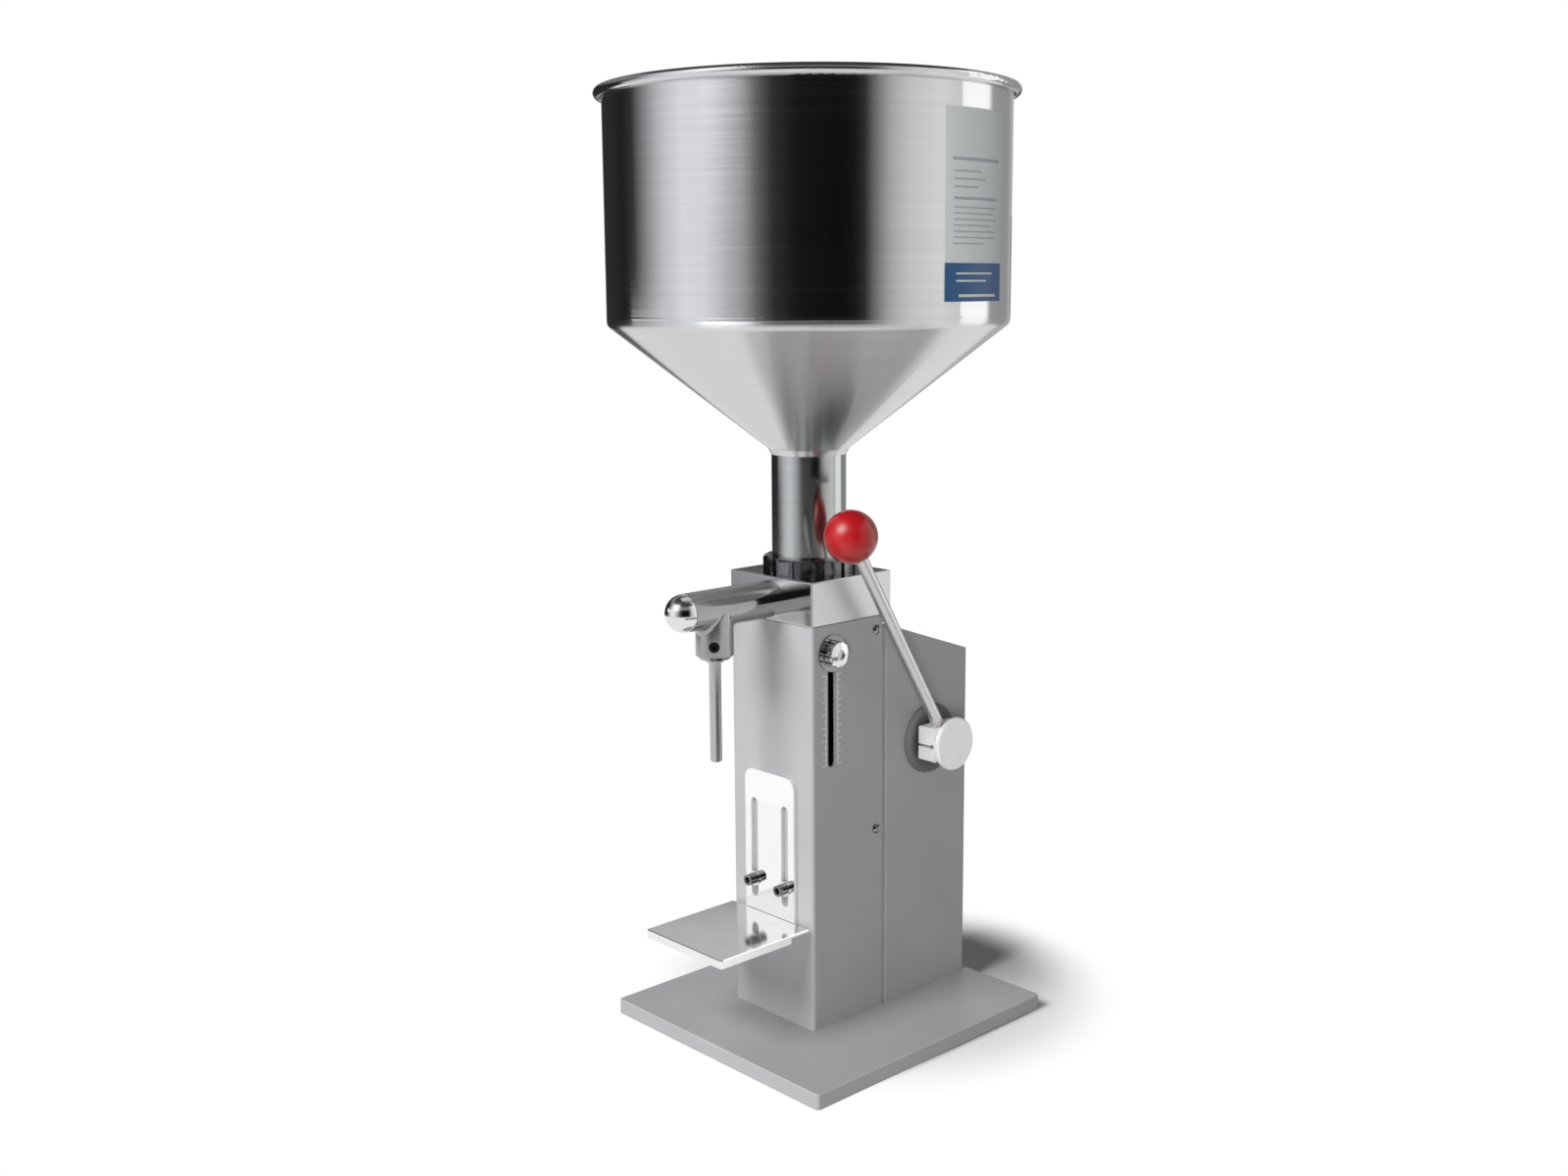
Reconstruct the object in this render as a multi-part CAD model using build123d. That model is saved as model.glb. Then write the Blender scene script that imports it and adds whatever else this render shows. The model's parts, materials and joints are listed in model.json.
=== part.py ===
from build123d import *
import math
import os

# Hand-lever piston filling machine for creams and pastes, as the separate pieces it is assembled from.
# Millimetres. The Z axis is the axis of the hopper and the pump, with Z = 0 on the underside of the base
# plate. -Y is the front, where the outlet and the bottle platform are, and +X is the lever's side.

# Clearances
RUN = 0.04            # radial, between turning or sliding round fits
SLIDE = 0.15          # between faces that slide past each other
SEAT = 0.05           # between faces that are assembled together
THREAD = 0.05         # radial, round a thread that is drawn plain

# Base plate
PLATE_W = 230.0
PLATE_D = 250.0
PLATE_T = 12.0
PLATE_LEFT = 108.0    # from the pump axis to the plate's left edge
PLATE_FRONT = 111.5   # from the pump axis to the plate's front edge
PLATE_CORNER = 3.0
PLATE_EDGE = 0.8

# Front column: folded sheet, open at the back, with flanges turned in at its foot and head
COLUMN_W = 90.0
COLUMN_D = 76.0
COLUMN_H = 316.0
COLUMN_SETBACK = 41.0    # from the column's front face to the pump axis
COLUMN_SHEET = 2.5
COLUMN_BEND = 3.0
FLANGE_W = 16.0          # at the foot; the head's flanges stop short of the cylinder
FLANGE_RELIEF = 8.0
FLANGE_GAP = 1.0

# Rear cover: folded sheet with a sloping top
COVER_D = 95.5
COVER_DROP = 8.0         # from the column's top down to the cover's top at the seam
COVER_FALL = 33.0        # from there down to its back edge
COVER_SHEET = 2.0
COVER_BEND = 3.0
COVER_SEAM = 3.5         # shallow groove between the column and the cover
SEAM_DEPTH = 2.0         # of that groove, down to the cover's stepped edge
SEAM_EDGE = 0.8
TONGUE_L = 14.0          # tongues that reach into the column and take the cover screws
TONGUE_T = 1.5
LIP_H = 12.0             # upstand that closes the back of the column above the cover
COVER_SCREW_TOP = 10.5   # from the column's top down to the upper cover screws
COVER_SCREW_GAP = 158.5  # from there down to the lower ones

# Pump head: polished block that carries the neck, the cylinder and the outlet
HEAD_D = 84.5
HEAD_H = 34.0
HEAD_EDGE = 1.2
SPIGOT_R = 31.0
SPIGOT_H = 5.0
CHAMBER_R = 18.0
CHAMBER_H = 22.0
INLET_R = 12.0
INLET_LAND = 2.0
INLET_CONE_H = 6.0
INLET_CONE_R = 20.0
SPIDER_BORE_R = 24.0
OUTLET_H = 17.0          # outlet axis above the underside of the head
OUTLET_SPIGOT_R = 10.0
OUTLET_SPIGOT_L = 13.5
OUTLET_PASSAGE_R = 7.0

# Hopper, neck and ring nut
NECK_R = 28.5
NECK_WALL = 2.0
NECK_L = 86.0
NECK_FLANGE_R = 30.7
NECK_FLANGE_T = 3.0
NECK_GASKET_T = 1.0
NUT_R = 35.5
NUT_LIP = 3.0
NUT_NOTCHES = 12
NUT_NOTCH_W = 6.0
NUT_NOTCH_DEPTH = 2.0
HOPPER_R = 150.0
HOPPER_SHEET = 1.5
CONE_H = 94.5
CONE_SKIRT = 6.0         # straight edge of the cone, welded to the wall
WALL_H = 169.5
RIM_OVERHANG = 6.0       # of the rolled bead, outside the wall
HOPPER_BEND = 6.0
WELD = 2.5

# Inlet valve
INLET_HEAD_R = 15.5
INLET_HEAD_T = 4.0
INLET_STEM_R = 3.0
SPIDER_T = 4.0
SPIDER_RING = 4.0
SPIDER_ARMS = 3
SPIDER_ARM_W = 5.0
SPIDER_BOSS_R = 7.0
SPIDER_BOSS_H = 10.0
INLET_SPRING_L = 20.0
INLET_SPRING_R = 6.2
INLET_SPRING_WIRE = 1.4
INLET_SPRING_TURNS = 4
INLET_CAP_R = 8.0
INLET_CAP_T = 4.0

# Outlet tee, valve, cap and nozzle
TEE_R = 14.25
TEE_L = 83.5
SOCKET_R = 14.2
SOCKET_REACH = 55.8      # from the head's front face to the nozzle axis
SOCKET_DROP = 37.5       # from the outlet axis down to the socket's end
SOCKET_CHAMFER = 3.0
TEE_BLEND = 4.5
TEE_BORE_R = 9.0
TEE_SEAT_R = 6.0
TEE_SEAT_AT = 34.0       # from the head's front face
CAP_THREAD_R = 10.0
CAP_THREAD_L = 10.5
CAP_GROOVE = 0.5
OUTLET_HEAD_R = 8.0
OUTLET_HEAD_T = 4.0
OUTLET_STEM_R = 3.0
OUTLET_STEM_L = 42.0
OUTLET_STEM_BORE_L = 18.0
OUTLET_SPRING_R = 6.0
OUTLET_SPRING_WIRE = 1.3
OUTLET_SPRING_TURNS = 5
NOZZLE_R = 4.5
NOZZLE_BORE_R = 3.2
NOZZLE_L = 78.0          # below the socket
NOZZLE_GRIP = 14.0       # inside the socket
NOZZLE_COLLAR_R = 6.2
NOZZLE_COLLAR_T = 2.5
NOZZLE_SCREW = 8.0
NOZZLE_SCREW_UP = 11.0   # above the socket's end
NOZZLE_SCREW_ANGLE = -42.0
NOZZLE_SCREW_SUNK = 0.4

# Cylinder and piston
BORE = 32.0
CYLINDER_WALL = 3.5
CYLINDER_RUNOUT = 5.0
CYLINDER_FLANGE_R = 29.0
CYLINDER_FLANGE_T = 6.0
CYLINDER_PCD = 48.0
CYLINDER_GASKET_T = 0.5
CYLINDER_SCREW = 5.0
CYLINDER_SCREW_L = 14.0
PISTON_L = 24.0
PISTON_TOP_GAP = 2.0
SEAL_W = 3.0
SEAL_DEPTH = 2.0
SEAL_FROM_END = 4.0
PISTON_RECESS_H = 7.0
ROD_R = 6.0
ROD_TOP_R = 4.0
ROD_FOOT_R = 5.0
PISTON_NUT_H = 6.0
ROD_NUT_H = 8.0

# Lever drive: toothed sector on the shaft, rack beside the cylinder
MODULE = 2.0
SECTOR_TEETH = 56        # of the whole circle
PRESSURE_ANGLE = 20.0
BACKLASH = 0.12
SECTOR_T = 12.0
SECTOR_HUB_R = 17.0
SECTOR_HUB_L = 28.0
SECTOR_PIN_R = 2.5
SECTOR_PIN_AT = 10.0
LEVER_SWING = 64.0       # degrees
RACK_W = 12.0
RACK_BODY = 6.0
RACK_MESH_ROOM = 13.0
RACK_FOOT_W = 24.0
RACK_FOOT_T = 16.0
RACK_FOOT_GAP = 12.0     # below the cylinder when the piston is up
SHOE_T = 3.5             # guide shoe between the cylinder and the rack
GUIDE_WALL = 4.5
GUIDE_H = 14.0
GUIDE_UP = 2.0
GUIDE_CHEEK = 6.0
GUIDE_SCREW = 5.0

# Lever shaft and its bearings
SHAFT_R = 8.0
SHAFT_DROP = 107.0       # below the column's top
BRACKET_T = 6.0
BRACKET_GAP = 60.0       # between the two bearing brackets
BRACKET_FOOT_D = 76.0
BRACKET_FOOT_W = 20.0
BRACKET_FOOT_T = 8.0
BRACKET_HEAD_R = 24.0
BRACKET_WINDOW_R = 15.0
BOSS_R = 17.0
BOSS_T = 6.0
BUSH_WALL = 3.0
BUSH_FLANGE_R = 14.0
BUSH_FLANGE_T = 2.0
CIRCLIP_T = 1.0
CIRCLIP_R = 10.5
CIRCLIP_GROOVE = 0.6
SHAFT_TAIL = 1.5

# Lever
HUB_R = 21.0             # round end disc
HUB_DISC_T = 4.5
HUB_BLOCK_FRONT = 21.0   # square block, from the shaft's axis forward
HUB_BLOCK_BACK = 15.0
HUB_BLOCK_UP = 15.0      # above the shaft's axis, where the rod screws in
HUB_BLOCK_DOWN = 12.0
HUB_L = 21.5             # block and disc
HUB_GAP = 8.0            # between the cover and the hub
HUB_FACE = 2.5
HUB_CHAMFER = 1.0
HUB_SLIT = 2.0           # clamp slit in the hub's front, shut by a screw across it
HUB_SLIT_L = 14.8
HUB_SLIT_END_R = 2.0
HUB_SCREW = 4.0
HUB_SCREW_AT = 14.0      # from the shaft's axis forward
HUB_SCREW_SEAT = 7.0     # from the shaft's axis down to the screw's head
HUB_SCREW_REACH = 6.0    # from the shaft's axis up to the screw's end
GUARD_R = 28.0           # dark round guard on the cover, behind the hub
GUARD_T = 5.5
GUARD_EDGE = 4.0
GUARD_SPIGOT_R = 11.5    # pressed into the cover
GUARD_SPIGOT_L = 3.5
GUARD_PLAY = 1.0         # round the turning shaft
LEVER_LEAN = 31.4        # degrees forward of upright, at rest
LEVER_L = 205.0          # shaft to the ball's middle
LEVER_ROD_R = 5.0
LEVER_ROD_AT = 11.0      # from the hub's inner face
LEVER_ROD_INSET = 10.0   # from the shaft's axis to the rod's lower end
BALL_R = 20.0
BALL_FLAT = 18.0         # from the ball's middle to its flat
BALL_GRIP = 13.0

# Stroke stop in the column's right wall
STOP_FORWARD = 20.5      # from the pump axis forward to the slot
STOP_DROP = 21.5         # from the column's top down to the knob, as photographed
STOP_TRAVEL = 84.0
STOP_SLOT_W = 8.0
STOP_STUD_R = 3.8
STOP_BLOCK_D = 18.0
STOP_BLOCK_H = 16.0
STOP_FINGER_GAP = 1.5    # between the stop block and the post beside it
STOP_WASHER_R = 14.0
STOP_WASHER_T = 1.5
STOP_KNOB_R = 10.0
STOP_KNOB_L = 8.8
STOP_KNOB_CROWN = 1.6
STOP_KNOB_FLUTES = 12
STOP_KNOB_FLUTE_R = 1.6
POST_R = 4.0
POST_X = 21.0

# Bottle platform
BRACKET_PLATE_W = 55.0
BRACKET_PLATE_T = 3.0
BRACKET_PLATE_TOP = 197.0   # above the base plate
BRACKET_PLATE_CORNER = 9.0
BRACKET_TOE = 40.0
PLATFORM_SLOTS = 34.0       # between the two slots
PLATFORM_SLOT_W = 7.5
PLATFORM_SLOT_LOW = 94.0    # slot ends above the base plate
PLATFORM_SLOT_HIGH = 174.0
PLATFORM_SCREW_H = 108.5
PLATFORM_SCREW = 6.0
PLATFORM_HEAD_R = 4.4
PLATFORM_HEAD_H = 7.0
PLATFORM_WASHER_R = 6.0
PLATFORM_WASHER_T = 1.0
PLATFORM_NUT_H = 5.0
SHELF_W = 87.0
SHELF_D = 88.0
SHELF_TOP = 83.0            # above the base plate
SHELF_SHEET = 2.0
SHELF_LIP = 6.5
SHELF_LIP_END = 18.0        # the side lips stop this far short of the bracket
SHELF_EDGE = 0.6

# Screws under the base plate and in the head
FOOT_SCREW = 6.0
FOOT_SCREW_SUNK = 1.0
FOOT_NUT_H = 5.0
HEAD_SCREW_L = 14.0
SCREW_FRONT = 14.0          # screw rows, behind the column's front face
SCREW_BACK = 52.0
COVER_SCREW_R = 2.0
COVER_SCREW_HEAD_R = 3.8
COVER_SCREW_HEAD_H = 2.2
COVER_SCREW_INSET = 7.5     # from the seam forward

# Heights, from the base plate up to the rim of the hopper
BASE_TOP = PLATE_T
COLUMN_TOP = BASE_TOP + COLUMN_H
HEAD_TOP = COLUMN_TOP + HEAD_H
SPIGOT_TOP = HEAD_TOP + SPIGOT_H
NECK_BOTTOM = SPIGOT_TOP + NECK_GASKET_T
CONE_BOTTOM = NECK_BOTTOM + NECK_L
CONE_TOP = CONE_BOTTOM + CONE_H
RIM_TOP = CONE_TOP + WALL_H
NUT_TOP = NECK_BOTTOM + NECK_FLANGE_T + NUT_LIP
CHAMBER_TOP = COLUMN_TOP + CHAMBER_H
SPIDER_SEAT = CHAMBER_TOP + INLET_LAND + INLET_CONE_H
SPIDER_TOP = SPIDER_SEAT + SPIDER_BOSS_H - SPIDER_T
INLET_CAP_BOTTOM = SPIDER_TOP + INLET_SPRING_L
OUTLET_Z = COLUMN_TOP + OUTLET_H
SOCKET_END = OUTLET_Z - SOCKET_DROP
NOZZLE_TIP = SOCKET_END - NOZZLE_L
SHAFT_Z = COLUMN_TOP - SHAFT_DROP
STOP_Z = COLUMN_TOP - STOP_DROP
COVER_TOP = COLUMN_TOP - COVER_DROP
PLATFORM_SCREW_Z = BASE_TOP + PLATFORM_SCREW_H
SHELF_Z = BASE_TOP + SHELF_TOP

# Depths, from the outlet at the front to the back of the cover
COLUMN_FRONT = -COLUMN_SETBACK
SEAM_Y = COLUMN_FRONT + COLUMN_D
COVER_FRONT = SEAM_Y + COVER_SEAM
COVER_BACK = COVER_FRONT + COVER_D
SOCKET_Y = COLUMN_FRONT - SOCKET_REACH
TEE_END = COLUMN_FRONT - TEE_L
STOP_Y = -STOP_FORWARD
BRACKET_PLATE_BACK = COLUMN_FRONT - SLIDE
BRACKET_PLATE_FRONT = BRACKET_PLATE_BACK - BRACKET_PLATE_T

# Widths
WALL_X = COLUMN_W / 2
INNER_X = WALL_X - COLUMN_SHEET
BRACKET_IN = BRACKET_GAP / 2
BRACKET_OUT = BRACKET_IN + BRACKET_T
BUSH_END = BRACKET_OUT + BUSH_FLANGE_T
HUB_IN = WALL_X + HUB_GAP
HUB_OUT = HUB_IN + HUB_L
LEVER_X = HUB_IN + LEVER_ROD_AT

# The drive: the shaft stands where its sector meshes with the rack behind the cylinder
CYLINDER_R = BORE / 2 + CYLINDER_WALL
PITCH_R = MODULE * SECTOR_TEETH / 2
TOOTH_PITCH = math.pi * MODULE
DEDENDUM = 1.25 * MODULE
STROKE = PITCH_R * math.radians(LEVER_SWING)
RACK_FRONT_Y = CYLINDER_R + SHOE_T
RACK_ROOT_Y = RACK_FRONT_Y + RACK_BODY
RACK_PITCH_Y = RACK_ROOT_Y + DEDENDUM
SHAFT_Y = RACK_PITCH_Y + PITCH_R
CYLINDER_TOP = COLUMN_TOP - CYLINDER_GASKET_T
PISTON_TOP = COLUMN_TOP - PISTON_TOP_GAP
PISTON_BOTTOM = PISTON_TOP - PISTON_L
CYLINDER_BOTTOM = PISTON_BOTTOM - STROKE - CYLINDER_RUNOUT
FOOT_TOP = CYLINDER_BOTTOM - RACK_FOOT_GAP
FOOT_BOTTOM = FOOT_TOP - RACK_FOOT_T
RACK_LOW = min(FOOT_BOTTOM, SHAFT_Z - RACK_MESH_ROOM)
RACK_HIGH = SHAFT_Z + STROKE + RACK_MESH_ROOM

UP = (Align.CENTER, Align.CENTER, Align.MIN)


# Shapes that several pieces share
def box(x, y, z):
    """Box between a pair of limits along each axis."""
    limits = (x, y, z)
    middle = [(low + high) / 2 for low, high in limits]
    return Pos(*middle) * Box(*[high - low for low, high in limits])


def rod_x(radius, x, y=0.0, z=0.0):
    return Pos(x[0], y, z) * Rot(0, 90, 0) * Cylinder(radius, x[1] - x[0], align=UP)


def rod_y(radius, y, x=0.0, z=0.0):
    return Pos(x, y[0], z) * Rot(-90, 0, 0) * Cylinder(radius, y[1] - y[0], align=UP)


def rod_z(radius, z, x=0.0, y=0.0):
    return Pos(x, y, z[0]) * Cylinder(radius, z[1] - z[0], align=UP)


def turned(outline):
    """Piece turned about Z from a closed outline of (radius, height) points."""
    return revolve(Plane.XZ * make_face(Polyline(*outline, close=True)), Axis.Z)


def side_plane(x):
    """Plane square to X at x, drawn in (Y, Z)."""
    return Plane(origin=(x, 0, 0), x_dir=(0, 1, 0), z_dir=(1, 0, 0))


def slot_x(x, y, z, width):
    """Upright slot through a wall that is square to X."""
    plane = Plane(origin=(x[0], y, (z[0] + z[1]) / 2), x_dir=(0, 0, 1), z_dir=(1, 0, 0))
    return extrude(plane * SlotOverall(z[1] - z[0], width), x[1] - x[0])


def slot_y(x, y, z, width):
    """Upright slot through a plate that is square to Y."""
    plane = Plane(origin=(x, y[0], (z[0] + z[1]) / 2), x_dir=(0, 0, 1), z_dir=(0, 1, 0))
    return extrude(plane * SlotOverall(z[1] - z[0], width), y[1] - y[0])


def head_radius(size):
    return 0.85 * size


def cap_screw(size, length, head_r=None, head_h=None):
    """Socket cap screw along Z: shank up from Z = 0, head below it."""
    radius = head_r or head_radius(size)
    height = head_h or size
    screw = rod_z(size / 2, (0, length)) + rod_z(radius, (-height, 0))
    socket = extrude(RegularPolygon(0.5 * size, 6), 0.55 * size)
    return screw - Pos(0, 0, -height) * socket


def set_screw(size, length):
    """Headless screw along Z from 0 to its length, with a hexagon socket in its upper end."""
    socket = extrude(RegularPolygon(0.3 * size, 6), 0.4 * length)
    return rod_z(size / 2, (0, length)) - Pos(0, 0, 0.6 * length) * socket


def hex_nut(size, height):
    """Nut along Z from 0 to its height, drawn with a plain bore."""
    blank = extrude(RegularPolygon(0.9 * size, 6), height)
    return blank - rod_z(size / 2 + THREAD, (-1, height + 1))


def lever_point(distance):
    """Point on the lever's line, measured from the shaft's axis."""
    lean = math.radians(LEVER_LEAN)
    return (LEVER_X, SHAFT_Y - distance * math.sin(lean), SHAFT_Z + distance * math.cos(lean))


def lever_bar(radius, start, end):
    """Round bar along the lever's line between two distances from the shaft's axis."""
    return Pos(*lever_point(start)) * Rot(LEVER_LEAN, 0, 0) * Cylinder(radius, end - start, align=UP)


# Places that two or more pieces share
def flange_screw_places(edge):
    """Screws in the middle of the column's flanges, whose inner edges are at edge."""
    inset = (INNER_X + edge) / 2
    rows = (COLUMN_FRONT + SCREW_FRONT, COLUMN_FRONT + SCREW_BACK)
    return [(side * inset, row) for side in (-1, 1) for row in rows]


def foot_screw_places():
    return flange_screw_places(INNER_X - FLANGE_W)


def head_screw_places():
    return flange_screw_places(CYLINDER_FLANGE_R + FLANGE_GAP)


def bracket_screw_places():
    inset = BRACKET_OUT - BRACKET_T - BRACKET_FOOT_W / 2
    rows = (SHAFT_Y - BRACKET_FOOT_D / 3, SHAFT_Y + BRACKET_FOOT_D / 3)
    return [(side * inset, row) for side in (-1, 1) for row in rows]


def cover_screw_places():
    row = SEAM_Y - COVER_SCREW_INSET
    upper = COLUMN_TOP - COVER_SCREW_TOP
    return [(row, upper), (row, upper - COVER_SCREW_GAP)]


def cylinder_screw_places():
    radius = CYLINDER_PCD / 2
    angles = [math.radians(45 + 90 * n) for n in range(4)]
    return [(radius * math.cos(a), radius * math.sin(a)) for a in angles]


def platform_screw_places():
    return [side * PLATFORM_SLOTS / 2 for side in (-1, 1)]


# Base and housing
def base_plate():
    left, front = -PLATE_LEFT, -PLATE_FRONT
    plate = box((left, left + PLATE_W), (front, front + PLATE_D), (0, PLATE_T))
    plate = fillet(plate.edges().filter_by(Axis.Z), PLATE_CORNER)
    plate = chamfer(plate.edges().group_by(Axis.Z)[-1], PLATE_EDGE)
    sunk = FOOT_SCREW + FOOT_SCREW_SUNK
    for x, y in foot_screw_places() + bracket_screw_places():
        plate -= rod_z(FOOT_SCREW / 2 + THREAD, (-1, PLATE_T + 1), x, y)
        plate -= rod_z(head_radius(FOOT_SCREW) + 0.5, (-1, sunk), x, y)
    return plate


def column_flanges(edge, z):
    """Pair of flanges turned in from the side walls as far as edge."""
    depth = (COLUMN_FRONT + FLANGE_RELIEF, SEAM_Y - TONGUE_L - FLANGE_GAP)
    right = box((edge, INNER_X + COLUMN_SHEET / 2), depth, z)
    return right + mirror(right, Plane.YZ)


def front_column():
    walls = box((-WALL_X, WALL_X), (COLUMN_FRONT, SEAM_Y), (BASE_TOP, COLUMN_TOP))
    walls = fillet(walls.edges().filter_by(Axis.Z).sort_by(Axis.Y)[:2], COLUMN_BEND)
    walls = fillet(walls.edges().filter_by(Axis.Z).sort_by(Axis.Y)[-2:], SEAM_EDGE)
    inside = box((-INNER_X, INNER_X), (COLUMN_FRONT + COLUMN_SHEET, SEAM_Y + 1), (BASE_TOP - 1, COLUMN_TOP + 1))
    column = walls - inside
    column += column_flanges(INNER_X - FLANGE_W, (BASE_TOP, BASE_TOP + COLUMN_SHEET))
    column += column_flanges(CYLINDER_FLANGE_R + FLANGE_GAP, (COLUMN_TOP - COLUMN_SHEET, COLUMN_TOP))
    for x, y in foot_screw_places():
        column -= rod_z(FOOT_SCREW / 2 + THREAD, (BASE_TOP - 1, BASE_TOP + FLANGE_W), x, y)
    for x, y in head_screw_places():
        column -= rod_z(FOOT_SCREW / 2 + THREAD, (COLUMN_TOP - FLANGE_W, COLUMN_TOP + 1), x, y)
    end_room = STOP_SLOT_W / 2 + SLIDE
    slot_ends = (STOP_Z - STOP_TRAVEL - end_room, STOP_Z + end_room)
    column -= slot_x((INNER_X - 1, WALL_X + 1), STOP_Y, slot_ends, STOP_SLOT_W)
    for y, z in cover_screw_places():
        column -= rod_x(COVER_SCREW_R + THREAD, (-WALL_X - 1, WALL_X + 1), y, z)
    for x in platform_screw_places():
        wall = (COLUMN_FRONT - 1, COLUMN_FRONT + COLUMN_SHEET + 1)
        column -= rod_y(PLATFORM_SCREW / 2 + THREAD, wall, x, PLATFORM_SCREW_Z)
    return column


def cover_outline(front, back, bottom, drop):
    """Side view of the cover in (Y, Z); drop lowers its sloping top."""
    def top(y):
        return COVER_TOP - COVER_FALL * (y - COVER_FRONT) / COVER_D - drop
    return Polyline((front, bottom), (back, bottom), (back, top(back)), (front, top(front)), close=True)


def rear_cover():
    slope = math.atan2(COVER_FALL, COVER_D)
    outer = make_face(cover_outline(COVER_FRONT, COVER_BACK, BASE_TOP + SEAT, 0.0))
    cover = extrude(side_plane(-WALL_X) * outer, COLUMN_W)
    cover = fillet(cover.edges().filter_by(Axis.Z).sort_by(Axis.Y)[-2:], COVER_BEND)
    cover = fillet(cover.edges().filter_by(Axis.Z).sort_by(Axis.Y)[:2], SEAM_EDGE)
    room = COVER_SHEET / math.cos(slope)
    inner = make_face(cover_outline(COVER_FRONT - 1, COVER_BACK - COVER_SHEET, BASE_TOP - 1, room))
    cover -= extrude(side_plane(-WALL_X + COVER_SHEET) * inner, COLUMN_W - 2 * COVER_SHEET)
    tongue_front = SEAM_Y - TONGUE_L
    tongue_z = (BASE_TOP + FLANGE_W, COLUMN_TOP - LIP_H / 2)
    tongue_out = INNER_X - SLIDE
    for side in (-1, 1):
        skin = sorted((side * tongue_out, side * (tongue_out - TONGUE_T)))
        joggle = sorted((side * (WALL_X - COVER_SHEET), side * (tongue_out - TONGUE_T)))
        low = (tongue_z[0], COVER_TOP - LIP_H)
        cover += box(skin, (tongue_front, COVER_FRONT + TONGUE_L), low)
        cover += box(joggle, (COVER_FRONT, COVER_FRONT + TONGUE_L), low)
        cover += box(skin, (tongue_front, SEAM_Y), tongue_z)
        step = sorted((side * (WALL_X - SEAM_DEPTH), side * (WALL_X - SEAM_DEPTH - COVER_SHEET)))
        step_z = (BASE_TOP + SEAT, COVER_TOP - COVER_SHEET)
        cover += box(step, (SEAM_Y + SEAT, COVER_FRONT + COVER_SHEET), step_z)
    lip_x = (SLIDE + TONGUE_T - INNER_X, INNER_X - SLIDE - TONGUE_T)
    roof = COVER_TOP - room
    cover += box(lip_x, (SEAM_Y - COVER_SHEET, SEAM_Y), (roof - LIP_H / 2, COLUMN_TOP - SLIDE))
    cover += box(lip_x, (SEAM_Y - COVER_SHEET, COVER_FRONT + COVER_SHEET), (roof - COVER_SHEET, roof + SEAT))
    for y, z in cover_screw_places():
        cover -= rod_x(COVER_SCREW_R + THREAD, (-WALL_X, WALL_X), y, z)
    return cover - rod_x(GUARD_SPIGOT_R + SEAT, (0, WALL_X + 1), SHAFT_Y, SHAFT_Z)


def cover_screws():
    """Domed screws through the column's walls into the cover's tongues."""
    length = COLUMN_SHEET + SLIDE + TONGUE_T + 2.0
    shank = rod_z(COVER_SCREW_R, (-length, 0))
    head = turned([(0, 0), (COVER_SCREW_HEAD_R, 0), (COVER_SCREW_HEAD_R, COVER_SCREW_HEAD_H / 3),
                   (COVER_SCREW_HEAD_R * 0.6, COVER_SCREW_HEAD_H), (0, COVER_SCREW_HEAD_H)])
    slot = box((-COVER_SCREW_HEAD_R, COVER_SCREW_HEAD_R), (-0.5, 0.5), (COVER_SCREW_HEAD_H / 2, COVER_SCREW_HEAD_H))
    screw = shank + head - slot
    screws = []
    for y, z in cover_screw_places():
        screws.append(Pos(WALL_X + SEAT, y, z) * Rot(0, 90, 0) * screw)
        screws.append(Pos(-WALL_X - SEAT, y, z) * Rot(0, -90, 0) * screw)
    return screws


def foot_screws():
    sunk = FOOT_SCREW + FOOT_SCREW_SUNK
    length = PLATE_T - sunk + COLUMN_SHEET + FOOT_NUT_H + 2.0
    return [Pos(x, y, sunk) * cap_screw(FOOT_SCREW, length) for x, y in foot_screw_places()]


def foot_nuts():
    z = BASE_TOP + COLUMN_SHEET
    return [Pos(x, y, z) * hex_nut(FOOT_SCREW, FOOT_NUT_H) for x, y in foot_screw_places()]


# Pump head and hopper
def pump_head():
    block = box((-WALL_X, WALL_X), (COLUMN_FRONT, COLUMN_FRONT + HEAD_D), (COLUMN_TOP, HEAD_TOP))
    block = fillet(block.edges(), HEAD_EDGE)
    block += rod_z(SPIGOT_R, (HEAD_TOP - 1, SPIGOT_TOP))
    land = CHAMBER_TOP + INLET_LAND
    block -= turned([(0, COLUMN_TOP - 1), (CHAMBER_R, COLUMN_TOP - 1), (CHAMBER_R, CHAMBER_TOP),
                     (INLET_R, CHAMBER_TOP), (INLET_R, land), (INLET_CONE_R, SPIDER_SEAT),
                     (SPIDER_BORE_R, SPIDER_SEAT), (SPIDER_BORE_R, SPIGOT_TOP + 1), (0, SPIGOT_TOP + 1)])
    bore_end = COLUMN_FRONT + OUTLET_SPIGOT_L + 0.5
    block -= rod_y(OUTLET_SPIGOT_R + THREAD, (COLUMN_FRONT - 1, bore_end), 0, OUTLET_Z)
    block -= rod_y(OUTLET_PASSAGE_R, (COLUMN_FRONT, -CHAMBER_R / 2), 0, OUTLET_Z)
    for x, y in head_screw_places():
        block -= rod_z(FOOT_SCREW / 2 + THREAD, (COLUMN_TOP - 1, COLUMN_TOP + HEAD_SCREW_L), x, y)
    for x, y in cylinder_screw_places():
        block -= rod_z(CYLINDER_SCREW / 2 + THREAD, (COLUMN_TOP - 1, COLUMN_TOP + CYLINDER_SCREW_L), x, y)
    return block


def head_screws():
    z = COLUMN_TOP - COLUMN_SHEET
    return [Pos(x, y, z) * cap_screw(FOOT_SCREW, HEAD_SCREW_L) for x, y in head_screw_places()]


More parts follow.
